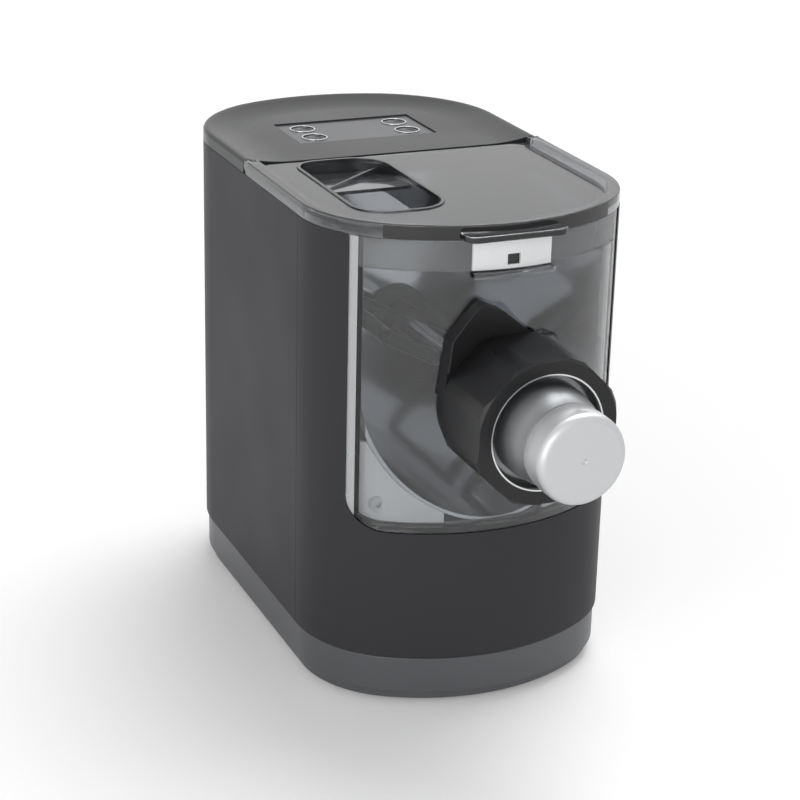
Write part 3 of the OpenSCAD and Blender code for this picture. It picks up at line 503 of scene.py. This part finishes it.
def make_finishes():
    """Makes each material once, named for the real one."""
    c = bpy.context.scene.pasta_colours
    FINISHES.update({
        # Soft-touch ABS: the big dark walls read as an even, slightly soft satin.
        "shell": moulded_abs("graphite_soft_touch_abs", c.shell, 0.46, gloss=0.08),
        # Lacquered ABS: small flakes make the base band lighter where it faces the light.
        "band": metallic_paint("grey_metallic_lacquer", c.band),
        # Moulded ABS, finer grain than the walls: the top reads smoother.
        "cover": moulded_abs("grey_satin_abs", c.cover, 0.27, grain_mm=0.6, spread=0.03, bump_um=8,
                             gloss=0.15),
        # Polished ABS: the panel stands out from the cover as a paler sheet.
        "panel": moulded_abs("grey_polished_abs", c.panel, 0.24, grain_mm=0.6, spread=0.02, bump_um=6,
                             gloss=0.3),
        "button": moulded_abs("dark_satin_abs", srgb("#3c3d3f"), 0.35, grain_mm=0.4),
        "button_ring": brushed_steel("thin_bright_steel", srgb("#d6d7d8"), 0.25),
        # Smoked acrylic: light grey where one looks through it, darker along its edges.
        "rim": acrylic("smoked_acrylic_rim", c.rim, 0.92, 0.03),
        "plate": acrylic("light_smoked_acrylic", c.plate, 0.92, 0.04, gloss=0.35),
        # Clear acrylic: seen by its edges and by what it mirrors.
        "clear": acrylic("clear_acrylic", c.clear, 1.0, 0.02, gloss=0.05),
        # Frosted acrylic: the pale upright borders of the front.
        "edge": acrylic("frosted_acrylic_edge", srgb("#c9cbcd"), 0.35, 0.3),
        # Acrylic with a haze: the band above the step blurs what lies behind it.
        "haze": acrylic("hazy_acrylic_band", srgb("#b8babc"), 0.85, 0.2, gloss=0.1),
        # Polished black ABS on the lid's upright front faces: painted shade, black put where the acrylic rim
        # only looks dark from the dark inside that it shows.
        "shade_painted_edge": moulded_abs("black_abs_as_painted_shade", srgb("#121213"), 0.12, bump_um=3),
        "latch": moulded_abs("pale_glossy_abs", c.latch, 0.2, spread=0.02, bump_um=4),
        # Glass-filled nylon: deep black with a tight dull shine.
        "nut": moulded_abs("black_glass_filled_nylon", c.nut, 0.34, grain_mm=0.5, spread=0.1, bump_um=15,
                           gloss=0.32),
        "black": moulded_abs("black_abs", srgb("#1d1d1f"), 0.4),
        # Turned and anodised aluminium: fine rings that draw the light out into arcs.
        "die": lathe_turned("turned_aluminium", c.die, 0.42),
        "cap": lathe_turned("satin_anodised_aluminium", c.cap, 0.45, ring_mm=0.5),
        "ring": lathe_turned("polished_aluminium", srgb("#d3d4d5"), 0.2),
        # Polished stainless steel: the tub mirrors the collar, the mixing bars and the front.
        "tub": brushed_steel("polished_stainless_steel", c.tub, 0.1, depth=0.08),
        "steel": brushed_steel("bright_steel", srgb("#c4c6c8"), 0.24),
        # Polypropylene: milky and a little waxy.
        "pale": moulded_abs("pale_polypropylene", srgb("#dcdddd"), 0.45),
        # Acetal: dense black, slippery and nearly without grain.
        "paddle": moulded_abs("black_acetal", srgb("#1a1a1c"), 0.3, bump_um=8, gloss=0.15),
        # Rubber: dull, with a coarse skin.
        "rubber": moulded_abs("black_rubber", srgb("#1b1b1b"), 0.7, grain_mm=1.2, bump_um=60),
        "nylon_gear": moulded_abs("natural_nylon", srgb("#d9d2b8"), 0.4),
        "brass": brushed_steel("machined_brass", srgb("#c2a35a"), 0.3),
        # Cast aluminium: a dull, sandy skin.
        "cast": moulded_abs("cast_aluminium", srgb("#5d5f61"), 0.5, grain_mm=1.5, bump_um=50),
        "board": moulded_abs("green_solder_mask", srgb("#1f4a34"), 0.3, bump_um=5),
        # Lacquered copper wire: uneven red-brown, as the turns lie.
        "copper": moulded_abs("lacquered_copper", srgb("#8a4f2a"), 0.35, grain_mm=0.8, spread=0.2),
        "chassis": moulded_abs("black_pc_abs", srgb("#2a2a2c"), 0.5),
        "contact": brushed_steel("plated_brass", srgb("#cfc9a8"), 0.25),
    })


def dress(finish, *nodes):
    """Gives CAD nodes that stay as they are their finished material."""
    for name in nodes:
        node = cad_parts[name]
        node.data.materials.clear()
        node.data.materials.append(FINISHES[finish])


# ---------------- operators

class PASTA_OT_finishes(bpy.types.Operator):
    """Make the materials and give the inner CAD nodes theirs"""
    bl_idname = "pasta.finishes"
    bl_label = "Finishes"

    def execute(self, context):
        make_finishes()
        dress("chassis", "chassis", "bulkhead")
        dress("rubber", "feet", "shaft_seal")
        dress("steel", "base_screws", "hinge_pins", "drive_shaft", "motor_can", "motor_rotor")
        dress("board", "control_board", "power_board")
        dress("black", "latch_catch", "barrel", "motor_fan", "board_parts", "power_inlet", "lid_switch")
        dress("tub", "mixing_tub")
        dress("pale", "tub_corners")
        dress("paddle", "mixing_paddle", "auger")
        dress("nylon_gear", "output_gear")
        dress("brass", "idler_gears")
        dress("cast", "gearbox_case", "gearbox_cover")
        dress("copper", "motor_stator")
        dress("contact", "inlet_pins")
        dress("latch", "latch_plate")
        dress("panel", "control_panel")
        return {"FINISHED"}


class PASTA_OT_shells(bpy.types.Operator):
    """Model the two body shells with their seam, vents and window"""
    bl_idname = "pasta.shells"
    bl_label = "Body shells"

    def execute(self, context):
        s = context.scene.pasta_body
        seam = s.seam_back + FRONT_Y

        def inlet(half_width, half_height, y0, y1):
            """A block round the mains inlet's middle."""
            z = s.inlet_height
            return block(-half_width, half_width, y0, y1, z - half_height, z + half_height)

        wall = hollow(0, s.wall, s.shell_bottom, s.wall_top)
        wall = carved(wall, slab(AHEAD, seam + 0.2))
        vent = s.vent_width / 2
        vents = [block(x * s.vent_pitch - vent, x * s.vent_pitch + vent, 100, 200, s.vent_bottom,
                       s.vent_bottom + s.vent_height) for x in range(-6, 7)]
        opening = (20.4, 14.4)
        socket = (14.4, 10.4)
        wall = carved(wall, joined(*vents, inlet(*opening, 140, 200)))
        seat = common(inlet(25, 19, REAR_Y - 9, REAR_Y), plan_solid(s.wall - 0.2, 30, 90))
        seat = carved(seat, inlet(*opening, REAR_Y - 5.8, REAR_Y + 10))
        seat = carved(seat, inlet(*socket, REAR_Y - 16, REAR_Y - 4))
        finish_piece(joined(wall, seat), "rear_body_shell", "body", ["shell"],
                     ["rear_shell"], bevel=0.5)
        wall = hollow(0, s.wall, s.shell_bottom, s.wall_top)
        wall = carved(wall, slab(seam - 0.2, BEHIND))
        wall = carved(wall, window_solid(0, -200, seam))
        # A thin flange inside the wall frames the window.
        reveal = common(plan_solid(s.wall - 0.1, 100, s.wall_top), window_solid(2.2, -200, seam - 12))
        reveal = carved(reveal, window_solid(0, -210, seam))
        reveal = carved(reveal, plan_solid(12.5, 90, 300))
        wall = fused(wall, reveal)
        finish_piece(wall, "front_body_shell", "body", ["shell"], ["front_shell"],
                     bevel=0.6)
        return {"FINISHED"}


class PASTA_OT_base(bpy.types.Operator):
    """Model the metallic base band"""
    bl_idname = "pasta.base"
    bl_label = "Base band"

    def execute(self, context):
        s = context.scene.pasta_body
        lower = plan_solid(s.band_inset + 2.5, s.foot, s.foot + 5.2)
        upper = plan_solid(s.band_inset, s.foot + 5, s.band_top)
        lip = plan_solid(s.wall + 0.2, s.band_top - 0.2, s.band_top + 6)
        band = fused(fused(lower, upper), lip)
        band = carved(band, plan_solid(s.band_inset + 4.2, 0, 60))
        finish_piece(band, "metallic_base_band", "body", ["band"], ["base_band"],
                     bevel=0.7)
        return {"FINISHED"}


class PASTA_OT_cover(bpy.types.Operator):
    """Model the dished rear top cover with its hinge ears"""
    bl_idname = "pasta.cover"
    bl_label = "Top cover"

    def execute(self, context):
        s = context.scene.pasta_body
        lid = context.scene.pasta_lid
        top = s.cover_top
        bm = plan_solid(0, lid.bottom, top)
        round_edges(bm, s.top_round, 5, lambda e: all(v.co.z > top - 0.1 for v in e.verts))
        flat = [f for f in bm.faces if f.normal.z > 0.99 and f.calc_area() > 5000]
        bmesh.ops.inset_region(bm, faces=flat, thickness=1.6, depth=0)
        rings = 9
        for ring in range(rings):
            # The dish falls steeply inside the edge and flattens towards the middle.
            fall = (s.dish - top) * ((1 - ring / rings) ** 2 - (1 - (ring + 1) / rings) ** 2)
            bmesh.ops.inset_region(bm, faces=flat, thickness=3.0, depth=fall)
        bm = carved(bm, slab(AHEAD, s.joint_y + 0.2))
        # The panel lies on a ledge round an opening.
        for ledge, bottom in ((0, 279.2), (4, 270)):
            bm = carved(bm, block(ledge - s.panel_half, s.panel_half - ledge, s.panel_front + ledge,
                                  s.panel_rear - ledge, bottom, 300))
        # A lip under the cover finds its place inside the wall.
        bm = joined(bm, carved(hollow(s.wall + 0.3, s.wall + 2.8, s.wall_top - 6.6, lid.bottom),
                               slab(AHEAD, s.joint_y + 12)))
        ear_x, hinge_y, hinge_z = hinge_place()
        for x in (-ear_x, ear_x):
            ear = rod((x - 1.5, hinge_y, hinge_z), lid.hinge_radius - 0.1, 3.0, "X", 40)
            ear = fused(ear, block(x - 1.5, x + 1.5, hinge_y, s.joint_y + 3, lid.bottom, 281.6))
            bm = joined(bm, ear)
        finish_piece(bm, "rear_top_cover", "body", ["cover"], ["top_cover"], bevel=0.35)
        return {"FINISHED"}


class PASTA_OT_controls(bpy.types.Operator):
    """Model the four push buttons and the thin rings round them"""
    bl_idname = "pasta.controls"
    bl_label = "Buttons"

    def execute(self, context):
        s = context.scene.pasta_body
        rings = []
        bottom = 275
        rows = (s.panel_front + 14, s.panel_front + 35)
        spots = [(x, y) for x in (-s.button_x, s.button_x) for y in rows]
        for number, (x, y) in enumerate(spots, 1):
            bm = rod((x, y, bottom), s.button_radius, 5.4, "Z", 48)
            top = [f for f in bm.faces if f.normal.z > 0.9]
            bmesh.ops.inset_region(bm, faces=top, thickness=1.4, depth=0)
            bmesh.ops.inset_region(bm, faces=top, thickness=0.9, depth=-0.7)
            round_edges(bm, 0.25, 2)
            flange = rod((x, y, bottom), s.button_radius + 1.4, 1.2, "Z", 48)
            finish_piece(joined(bm, flange), f"push_button_{number}", f"button_{number}",
                         ["button"], [f"button_{number}"])
            ring = carved(rod((x, y, 280.6), 7.9, 0.55, "Z", 64), rod((x, y, bottom - 5), 7.0, 30, "Z", 64))
            rings.append(round_edges(ring, 0.15, 2))
        finish_piece(joined(*rings), "button_trim_rings", "body", ["button_ring"],
                     ["button_rings"])
        return {"FINISHED"}


def hinge_place():
    """The hinge ears' distance from the middle and the hinge line's place."""
    lid = bpy.context.scene.pasta_lid
    ear_x = BODY_WIDTH / 2 - lid.rim / 2 - 0.55
    return ear_x, bpy.context.scene.pasta_body.joint_y - 0.2 - lid.hinge_radius, lid.top - lid.hinge_radius


def pour_wire(grow, z0, z1):
    """The pour opening's outline as a solid: a rectangle with four round corners."""
    lid = bpy.context.scene.pasta_lid
    x0, x1 = -lid.pour_left - grow, grow - lid.pour_right
    y0, y1 = -lid.pour_front - grow, lid.pour_rear + grow
    front, left, right = 20 + grow, 15 + grow, 22 + grow
    moves = [
        ((x1 - right, y1 - right, z0), 90, 10),
        (x0 + left, y1, z0),
        ((x0 + left, y1 - left, z0), 90, 10),
        (x0, y0 + front, z0),
        ((x0 + front, y0 + front, z0), 90, 10),
        (x1 - front, y0, z0),
        ((x1 - front, y0 + front, z0), 90, 10),
    ]
    return swept_solid((x1, y1 - right, z0), moves, (0, 0, z1 - z0))


class PASTA_OT_lid(bpy.types.Operator):
    """Model the smoked lid with its rim, tongue and pour funnel"""
    bl_idname = "pasta.lid"
    bl_label = "Lid"

    def execute(self, context):
        s = context.scene.pasta_body
        lid = context.scene.pasta_lid
        bm = plan_solid(0.2, lid.bottom, lid.top)
        round_edges(bm, 0.9, 3, lambda e: all(v.co.z > lid.top - 0.1 for v in e.verts))
        flat = [f for f in bm.faces if f.normal.z > 0.99 and f.calc_area() > 5000]
        bmesh.ops.inset_region(bm, faces=flat, thickness=lid.rim - 1.3, depth=0)
        bmesh.ops.inset_region(bm, faces=flat, thickness=0.8, depth=lid.plate - lid.top)
        bm = carved(bm, plan_solid(lid.rim, lid.bottom - 5, lid.plate - lid.plate_thick))
        z = lid.bottom + 0.8
        moves = [(-30, FRONT_Y - 2, z), ((-24, FRONT_Y - 2, z), 90, 6), (24, FRONT_Y - 8, z),
                 ((24, FRONT_Y - 2, z), 90, 6), (30, FRONT_Y + 6, z)]
        tongue = swept_solid((-30, FRONT_Y + 6, z), moves, (0, 0, 3.6))
        bm = fused(bm, round_edges(tongue, 0.6, 2))
        ear_x, hinge_y, hinge_z = hinge_place()
        inner = BODY_WIDTH / 2 - lid.rim
        # The plate reaches to the joint, and the rim ends at the hinge line in round knuckles.
        keep = joined(slab(AHEAD, hinge_y, 200),
                      block(-inner, inner, hinge_y - 1, hinge_y + lid.hinge_radius, lid.bottom, 400))
        bm = common(bm, fused(keep, block(-300, 300, -400, hinge_y - 2, 100, 500)))
        for x0, x1 in ((-BODY_WIDTH, -inner), (inner, BODY_WIDTH)):
            knuckle = rod((x0, hinge_y, hinge_z), lid.hinge_radius, x1 - x0, "X", 48)
            bm = fused(bm, common(knuckle, plan_solid(0.2, 200, 300)))
        notches = [block(x - 1.9, x + 1.9, hinge_y - lid.hinge_radius - 0.6, 300, 268, 300)
                   for x in (-ear_x, ear_x)]
        bm = carved(bm, joined(pour_wire(0.3, 268, 300), *notches))
        lip = hollow(s.wall + 1.3, s.wall + 3.3, s.wall_top - 5, lid.bottom - 0.02)
        lip = carved(lip, joined(slab(AHEAD, -89), slab(-14, BEHIND)))

        def part(face):
            """The slot of a face's finish: the rim, the plate or the front edge painted black as shade."""
            centre = face.calc_center_median()
            inside = abs(centre.x) < BODY_WIDTH / 2 - lid.rim - 0.2 and centre.z < lid.plate + 0.2
            if inside and abs(face.normal.z) > 0.7 and face.calc_area() > 50:
                return 1
            upright = abs(face.normal.z) < 0.3 and centre.y < FRONT_Y + 20 and centre.z < lid.top - 1
            outwards = Vector((centre.x, centre.y - FRONT_Y - s.front_radius, 0))
            return 2 if upright and face.normal.dot(outwards) > 0 else 0

        # Slot 2 paints the lid's upright front faces black as shade.
        finish_piece(joined(bm, lip), "smoked_lid", "lid", ["rim", "plate", "shade_painted_edge"],
                     ["lid"], bevel=0.25, pick=part)
        z0 = lid.plate - 17
        funnel = carved(pour_wire(0, z0, lid.plate + 0.7), pour_wire(-2, z0 - 5, 300))
        funnel = carved(funnel, slab(-1.2, 20, 200, 271.4))
        # The tray slopes down to the rear and a low ridge crosses it to the opening in front.
        z = lid.top - 8.5
        x = -lid.pour_left
        tray = swept_solid((x, 12, z - 4.5), [(x, -47.6, z), (x, -47.6, z + 2), (x, 12, z - 2.5)],
                           (56, 0, 0), axis=(1, 0, 0))
        tray = common(tray, pour_wire(-1.9, z0 - 1, 300))
        ridge = block(0, 90, 0, 2, z - 2, z + 2.4)
        placed(ridge, (x, -45.6, 0), math.degrees(math.atan2(44, 55.2)), "Z")
        ridge = common(round_edges(ridge, 0.5, 2), pour_wire(-1.9, z0 - 1, 300))
        finish_piece(joined(funnel, tray, ridge), "pour_funnel_shell", "lid",
                     ["plate"], ["pour_funnel"], bevel=0.3)
        return {"FINISHED"}


class PASTA_OT_front(bpy.types.Operator):
    """Model the clear lift-off front with its step, shelf, ribs and lug"""
    bl_idname = "pasta.front"
    bl_label = "Clear front"

    def execute(self, context):
        lid = context.scene.pasta_lid
        nozzle = context.scene.pasta_nozzle
        front = FRONT_Y
        seam = context.scene.pasta_body.seam_back + front
        z = nozzle.height
        bm = common(plan_solid(0.8, 90, lid.panel_top), window_solid(-0.5, -200, seam - 8))
        bm = carved(bm, common(plan_solid(3.8, 80, 300), window_solid(-3.0, -200, seam)))
        bm = carved(bm, plan_solid(12, 80, 300))
        step = common(hollow(0.4, 0.9, lid.step - 0.8, lid.step), window_solid(-4.5, -200, seam - 30))
        shelf = round_edges(block(-24, 24, front - 5, front + 10, lid.step - 3.6, lid.step - 0.7), 0.8, 3)
        shelf = carved(common(shelf, plan_solid(-5, 200, 300)), plan_solid(0.9, 200, 300))
        lug = carved(block(18, 27, front - 3, front + 10, z + 27.5, z + 36),
                     block(20, 25, front - 12, front - 0.2, z + 29.5, z + 34))
        lug = carved(lug, plan_solid(0.9, 200, 300))
        ribs = joined(*(block(x, x + 2, front, front + 60, lid.window_bottom + 8, lid.panel_top)
                        for x in (73, -75)))
        ribs = carved(common(ribs, plan_solid(3.7, 80, 300)), plan_solid(10.5, 80, 300))
        for extra in (step, shelf, lug, ribs):
            bm = fused(bm, extra)
        bm = carved(bm, joined(bored(28, front - 47, front + 53),
                               block(-3.95, 3.95, -200, -100, lid.latch - 3.2, lid.latch + 3.2)))
        # The middle, the band above the step and the frosted borders have their own finishes.
        side = lid.window_width / 2 - 4.0
        middle = block(-side, side, -300, seam, 90, lid.step - 0.4)
        top = common(bm.copy(), block(-side, side, -300, seam, lid.step - 0.35, 300))
        border = carved(bm.copy(), block(-side - 0.05, side + 0.05, -300, 300, 0, 400))
        for mesh, name, finish in ((common(bm, middle), "clear_front", "clear"),
                                   (top, "clear_front_top", "haze"), (border, "clear_front_sides", "edge")):
            finish_piece(mesh, name, "front_panel", [finish], ["front_panel"], bevel=0.3)
        return {"FINISHED"}


class PASTA_OT_collar(bpy.types.Operator):
    """Model the black collar behind the nut with its raised ear"""
    bl_idname = "pasta.collar"
    bl_label = "Collar"

    def execute(self, context):
        s = context.scene.pasta_nozzle
        front = FRONT_Y
        back = front - s.nut_reach + s.nut_length
        outline = ((-36, 40), (-31, 46), (-26, 52.5), (-21, 58), (-17, 59), (-7, 54.5), (1, 48), (13, 38),
                   (38, 12))
        moves = [(x, front + 20, s.height + z) for x, z in outline]
        ear = swept_solid((-40, front + 20, s.height + 6), moves, (0, back - front - 21, 0))
        round_edges(ear, 1.6, 3, lambda e: abs(e.verts[0].co.y - e.verts[1].co.y) > 5, angle=8)
        round_edges(ear, 0.9, 3, lambda e: all(v.co.y < back for v in e.verts), angle=60)
        ear = carved(ear, bored(s.flats / 2 + 4, back - 10, back + 0.4))
        disc = round_edges(bored(s.flats / 2 - 1, back + 0.4, front + 20), 0.6, 2)
        bm = fused(disc, ear)
        bm = carved(bm, block(17.6, 27.4, front - 10, front + 20, s.height + 27.1, s.height + 36.4))
        bm = carved(bm, plan_solid(0.75, 100, 300))
        bm = carved(bm, bored(27.8, front - 60, front + 40))
        finish_piece(bm, "nozzle_collar", "front_panel", ["nut"], ["collar"], bevel=0.2)
        return {"FINISHED"}


class PASTA_OT_lock_nut(bpy.types.Operator):
    """Model the eight-sided lock nut with its corner facets and recess"""
    bl_idname = "pasta.lock_nut"
    bl_label = "Lock nut"

    def execute(self, context):
        s = context.scene.pasta_nozzle
        front = FRONT_Y - s.nut_reach
        back = front + s.nut_length
        bm = bmesh.new()
        half_side = 22.5
        bmesh.ops.create_circle(bm, cap_ends=True, segments=8,
                                radius=s.flats / 2 / math.cos(math.radians(half_side)))
        placed(bm, turn=half_side, axis="Z")
        bmesh.ops.bevel(bm, geom=bm.verts[:], offset=s.corner, segments=1, profile=0.5, affect="VERTICES",
                        material=-1)
        extruded(placed(bm, (0, back, s.height), 90), bm.faces[:], (0, -s.nut_length, 0))
        reach = s.flats / 2 + s.nut_length
        bm = common(bm, bored(s.flats / 2 + 0.2, front, back, reach + 0.2))
        bm = common(bm, bored(reach, front, back, s.flats / 2 + 1.5))
        round_edges(bm, 1.0, 3, lambda e: all(v.co.y < front + 0.1 for v in e.verts))
        bm = carved(bm, bored(s.recess, front - 1, front + 7))
        bm = carved(bm, bored(30.5, front, front + 11))
        bm = carved(bm, bored(34.2, front + 10, back + 1))
        finish_piece(bm, "lock_nut_body", "lock_nut", ["nut"], ["lock_nut"],
                     crease=24, bevel=0.35)
        return {"FINISHED"}


class PASTA_OT_die(bpy.types.Operator):
    """Model the turned shaping die with its slots"""
    bl_idname = "pasta.die"
    bl_label = "Shaping die"

    def execute(self, context):
        s = context.scene.pasta_nozzle
        y = FRONT_Y - s.nut_reach + 14.4
        z = s.height
        # Radius and depth of each point of the profile, from the flange behind the nut to the end.
        profile = ((33.6, 0), (33.6, 4.1), (s.die_radius, 4.1), (s.die_radius, 14), (s.die_radius - 0.3, 17),
                   (s.die_radius - 0.8, 20), (s.waist + 1.9, 24), (s.waist + 1, 28), (s.waist + 0.3, 31),
                   (s.waist, 34), (21, 35.6), (21, 48.5), (20, 49.9), (0, 49.9))
        die = turned((0, y), *((radius, y - depth) for radius, depth in profile))
        die = carved(die, bored(17, y - 48.1, y + 10))
        # Five slots end on a circle of 14 mm round the axis.
        slots = []
        for x in range(-12, 13, 6):
            half = math.sqrt(14 ** 2 - x ** 2)
            slots.append(block(x - 0.8, x + 0.8, y - 60, y - 40, z - half, z + half))
        finish_piece(carved(die, joined(*slots)), "shaping_die_body", "nozzle_set",
                     ["die"], ["shaping_die"])
        return {"FINISHED"}


class PASTA_OT_nut_ring(bpy.types.Operator):
    """Model the bright liner of the recess in the nut's face"""
    bl_idname = "pasta.nut_ring"
    bl_label = "Nut ring"

    def execute(self, context):
        s = context.scene.pasta_nozzle
        front = FRONT_Y - s.nut_reach
        ring = carved(bored(s.recess - 0.05, front + 0.6, front + 6.9),
                      bored(s.recess - 1.2, front, front + 8))
        finish_piece(round_edges(ring, 0.25, 2, angle=60), "bright_nut_ring", "lock_nut",
                     ["ring"], ["nut_ring"])
        return {"FINISHED"}


class PASTA_OT_cap(bpy.types.Operator):
    """Model the rounded cap on the die"""
    bl_idname = "pasta.cap"
    bl_label = "Die cap"

    def execute(self, context):
        s = context.scene.pasta_nozzle
        y = FRONT_Y - s.nut_reach - 21.5
        end = FRONT_Y - s.cap_reach
        edge = 4.5
        bore = 21.3
        cap = turned((bore, y), (s.waist + 0.4, y), (s.waist + 0.5, y - 1.2), (s.cap_radius - 0.3, y - 3),
                     (s.cap_radius, y - 5.5), (s.cap_radius, end + edge),
                     ((s.cap_radius - edge, end + edge), -90, 10), (1.6, end), (1.2, end + 0.5),
                     (0, end + 0.6))
        inner = turned((0, end + 3.5), (19, end + 3.5), (bore, end + 6), (bore, y))
        finish_piece(joined(cap, inner), "rounded_die_cap", "die_cap", ["cap"], ["die_cap"])
        return {"FINISHED"}


def backdrop_rays(tree):
    """One for the rays that show the backdrop: the camera's own, and those that metal and glass pass on."""
    ray = add(tree, "ShaderNodeLightPath").outputs
    passed = add(tree, "ShaderNodeMath", {0: ray["Is Glossy Ray"], 1: ray["Is Transmission Ray"]},
                 operation="MAXIMUM")
    return add(tree, "ShaderNodeMath", {0: ray["Is Camera Ray"], 1: passed.outputs[0]},
               operation="MAXIMUM").outputs[0]


class PASTA_OT_studio(bpy.types.Operator):
    """Build the pale floor, the soft lights and the camera"""
    bl_idname = "pasta.studio"
    bl_label = "Studio"

    def execute(self, context):
        scene = context.scene
        c = scene.pasta_colours
        bm = bmesh.new()
        bmesh.ops.create_grid(bm, x_segments=2, y_segments=2, size=6.0)
        floor = as_object(bm, "studio_floor")
        # Painted board: matt white, with a glow where it is seen, also in metal and through glass.
        material, tree, base = shader("matt_white_board", {"Base Color": c.floor, "Roughness": 0.9,
                                                           "Emission Color": (1, 1, 1, 1)})
        glow = add(tree, "ShaderNodeMath", {0: backdrop_rays(tree), 1: 0.16}, operation="MULTIPLY")
        tree.links.new(glow.outputs[0], base.inputs["Emission Strength"])
        floor.data.materials.append(material)
        world = bpy.data.worlds.new("studio_air")
        scene.world = world
        world.use_nodes = True
        tree = world.node_tree
        tree.nodes.clear()
        # The air is white to look at. What it sheds on matt surfaces is brighter near the horizon.
        where = add(tree, "ShaderNodeTexCoord").outputs["Generated"]
        height = add(tree, "ShaderNodeSeparateXYZ", {"Vector": where}).outputs["Z"]
        shed = add(tree, "ShaderNodeMapRange", {"Value": height, "From Min": 0.38, "From Max": 0.72,
                                                "To Min": 0.95, "To Max": 0.2})
        power = add(tree, "ShaderNodeMath", {0: shed.outputs[0], 1: backdrop_rays(tree)},
                    operation="MAXIMUM")
        sky = add(tree, "ShaderNodeBackground", {"Color": (1, 1, 1, 1), "Strength": power.outputs[0]})
        add(tree, "ShaderNodeOutputWorld", {"Surface": sky.outputs[0]})
        for name, kind, place, size, power in (("key_from_above", "SUN", (0.5, 0.45, 1.3), 0.7, 1.75),
                                               ("softbox_from_left", "AREA", (-1.2, -1.25, 0.6), 1.3, 10.0)):
            light = bpy.data.lights.new(name, kind)
            light.energy = power
            setattr(light, "angle" if kind == "SUN" else "size", size)
            lamp = bpy.data.objects.new(name, light)
            scene.collection.objects.link(lamp)
            lamp.location = place
            aim = Vector((0, 0.02, 0.14)) - Vector(place)
            lamp.rotation_euler = aim.to_track_quat("-Z", "Y").to_euler()
        # Place, turns and lens come from fitting the view to the outline of the real part.
        camera_data = bpy.data.cameras.new("photo_camera")
        camera_data.sensor_width = 36.0
        camera_data.lens = 98.18
        camera_data.clip_end = 50.0
        camera = bpy.data.objects.new("photo_camera", camera_data)
        scene.collection.objects.link(camera)
        camera.matrix_world = Matrix.Translation((-0.495255, -1.143325 + BODY_MIDDLE, 0.611544))
        for angle, axis in ((-23.55, "Z"), (90 - 21.18, "X"), (1.44, "Z")):
            camera.matrix_world = camera.matrix_world @ Matrix.Rotation(math.radians(angle), 4, axis)
        scene.camera = camera
        scene.view_settings.view_transform = "Standard"
        return {"FINISHED"}


class PASTA_PT_panel(bpy.types.Panel):
    """Lists the pieces and the sizes in the sidebar"""
    bl_idname = "PASTA_PT_panel"
    bl_label = "Pasta maker"
    bl_space_type = "VIEW_3D"
    bl_region_type = "UI"
    bl_category = "Pasta maker"

    def draw(self, context):
        for operator in OPERATORS:
            self.layout.operator(operator.bl_idname)
        for name in GROUPS:
            group = getattr(context.scene, name)
            box = self.layout.box()
            for key in group.__annotations__:
                box.prop(group, key)


GROUPS = {"pasta_body": PastaBodySizes, "pasta_lid": PastaLidSizes, "pasta_nozzle": PastaNozzleSizes,
          "pasta_colours": PastaFinishColours}
OPERATORS = (PASTA_OT_finishes, PASTA_OT_shells, PASTA_OT_base, PASTA_OT_cover, PASTA_OT_controls,
             PASTA_OT_lid, PASTA_OT_front, PASTA_OT_collar, PASTA_OT_lock_nut, PASTA_OT_die,
             PASTA_OT_nut_ring, PASTA_OT_cap, PASTA_OT_studio)


def register():
    for cls in (*GROUPS.values(), *OPERATORS, PASTA_PT_panel):
        bpy.utils.register_class(cls)
    for name, group in GROUPS.items():
        setattr(bpy.types.Scene, name, PointerProperty(type=group))


def unregister():
    for name in GROUPS:
        delattr(bpy.types.Scene, name)
    for cls in (PASTA_PT_panel, *reversed(OPERATORS), *reversed(list(GROUPS.values()))):
        bpy.utils.unregister_class(cls)


def main():
    """Builds every piece in order."""
    register()
    bpy.ops.pasta.finishes()
    bpy.ops.pasta.shells()
    bpy.ops.pasta.base()
    bpy.ops.pasta.cover()
    bpy.ops.pasta.controls()
    bpy.ops.pasta.lid()
    bpy.ops.pasta.front()
    bpy.ops.pasta.collar()
    bpy.ops.pasta.lock_nut()
    bpy.ops.pasta.die()
    bpy.ops.pasta.nut_ring()
    bpy.ops.pasta.cap()
    bpy.ops.pasta.studio()


if __name__ == "__main__":
    main()
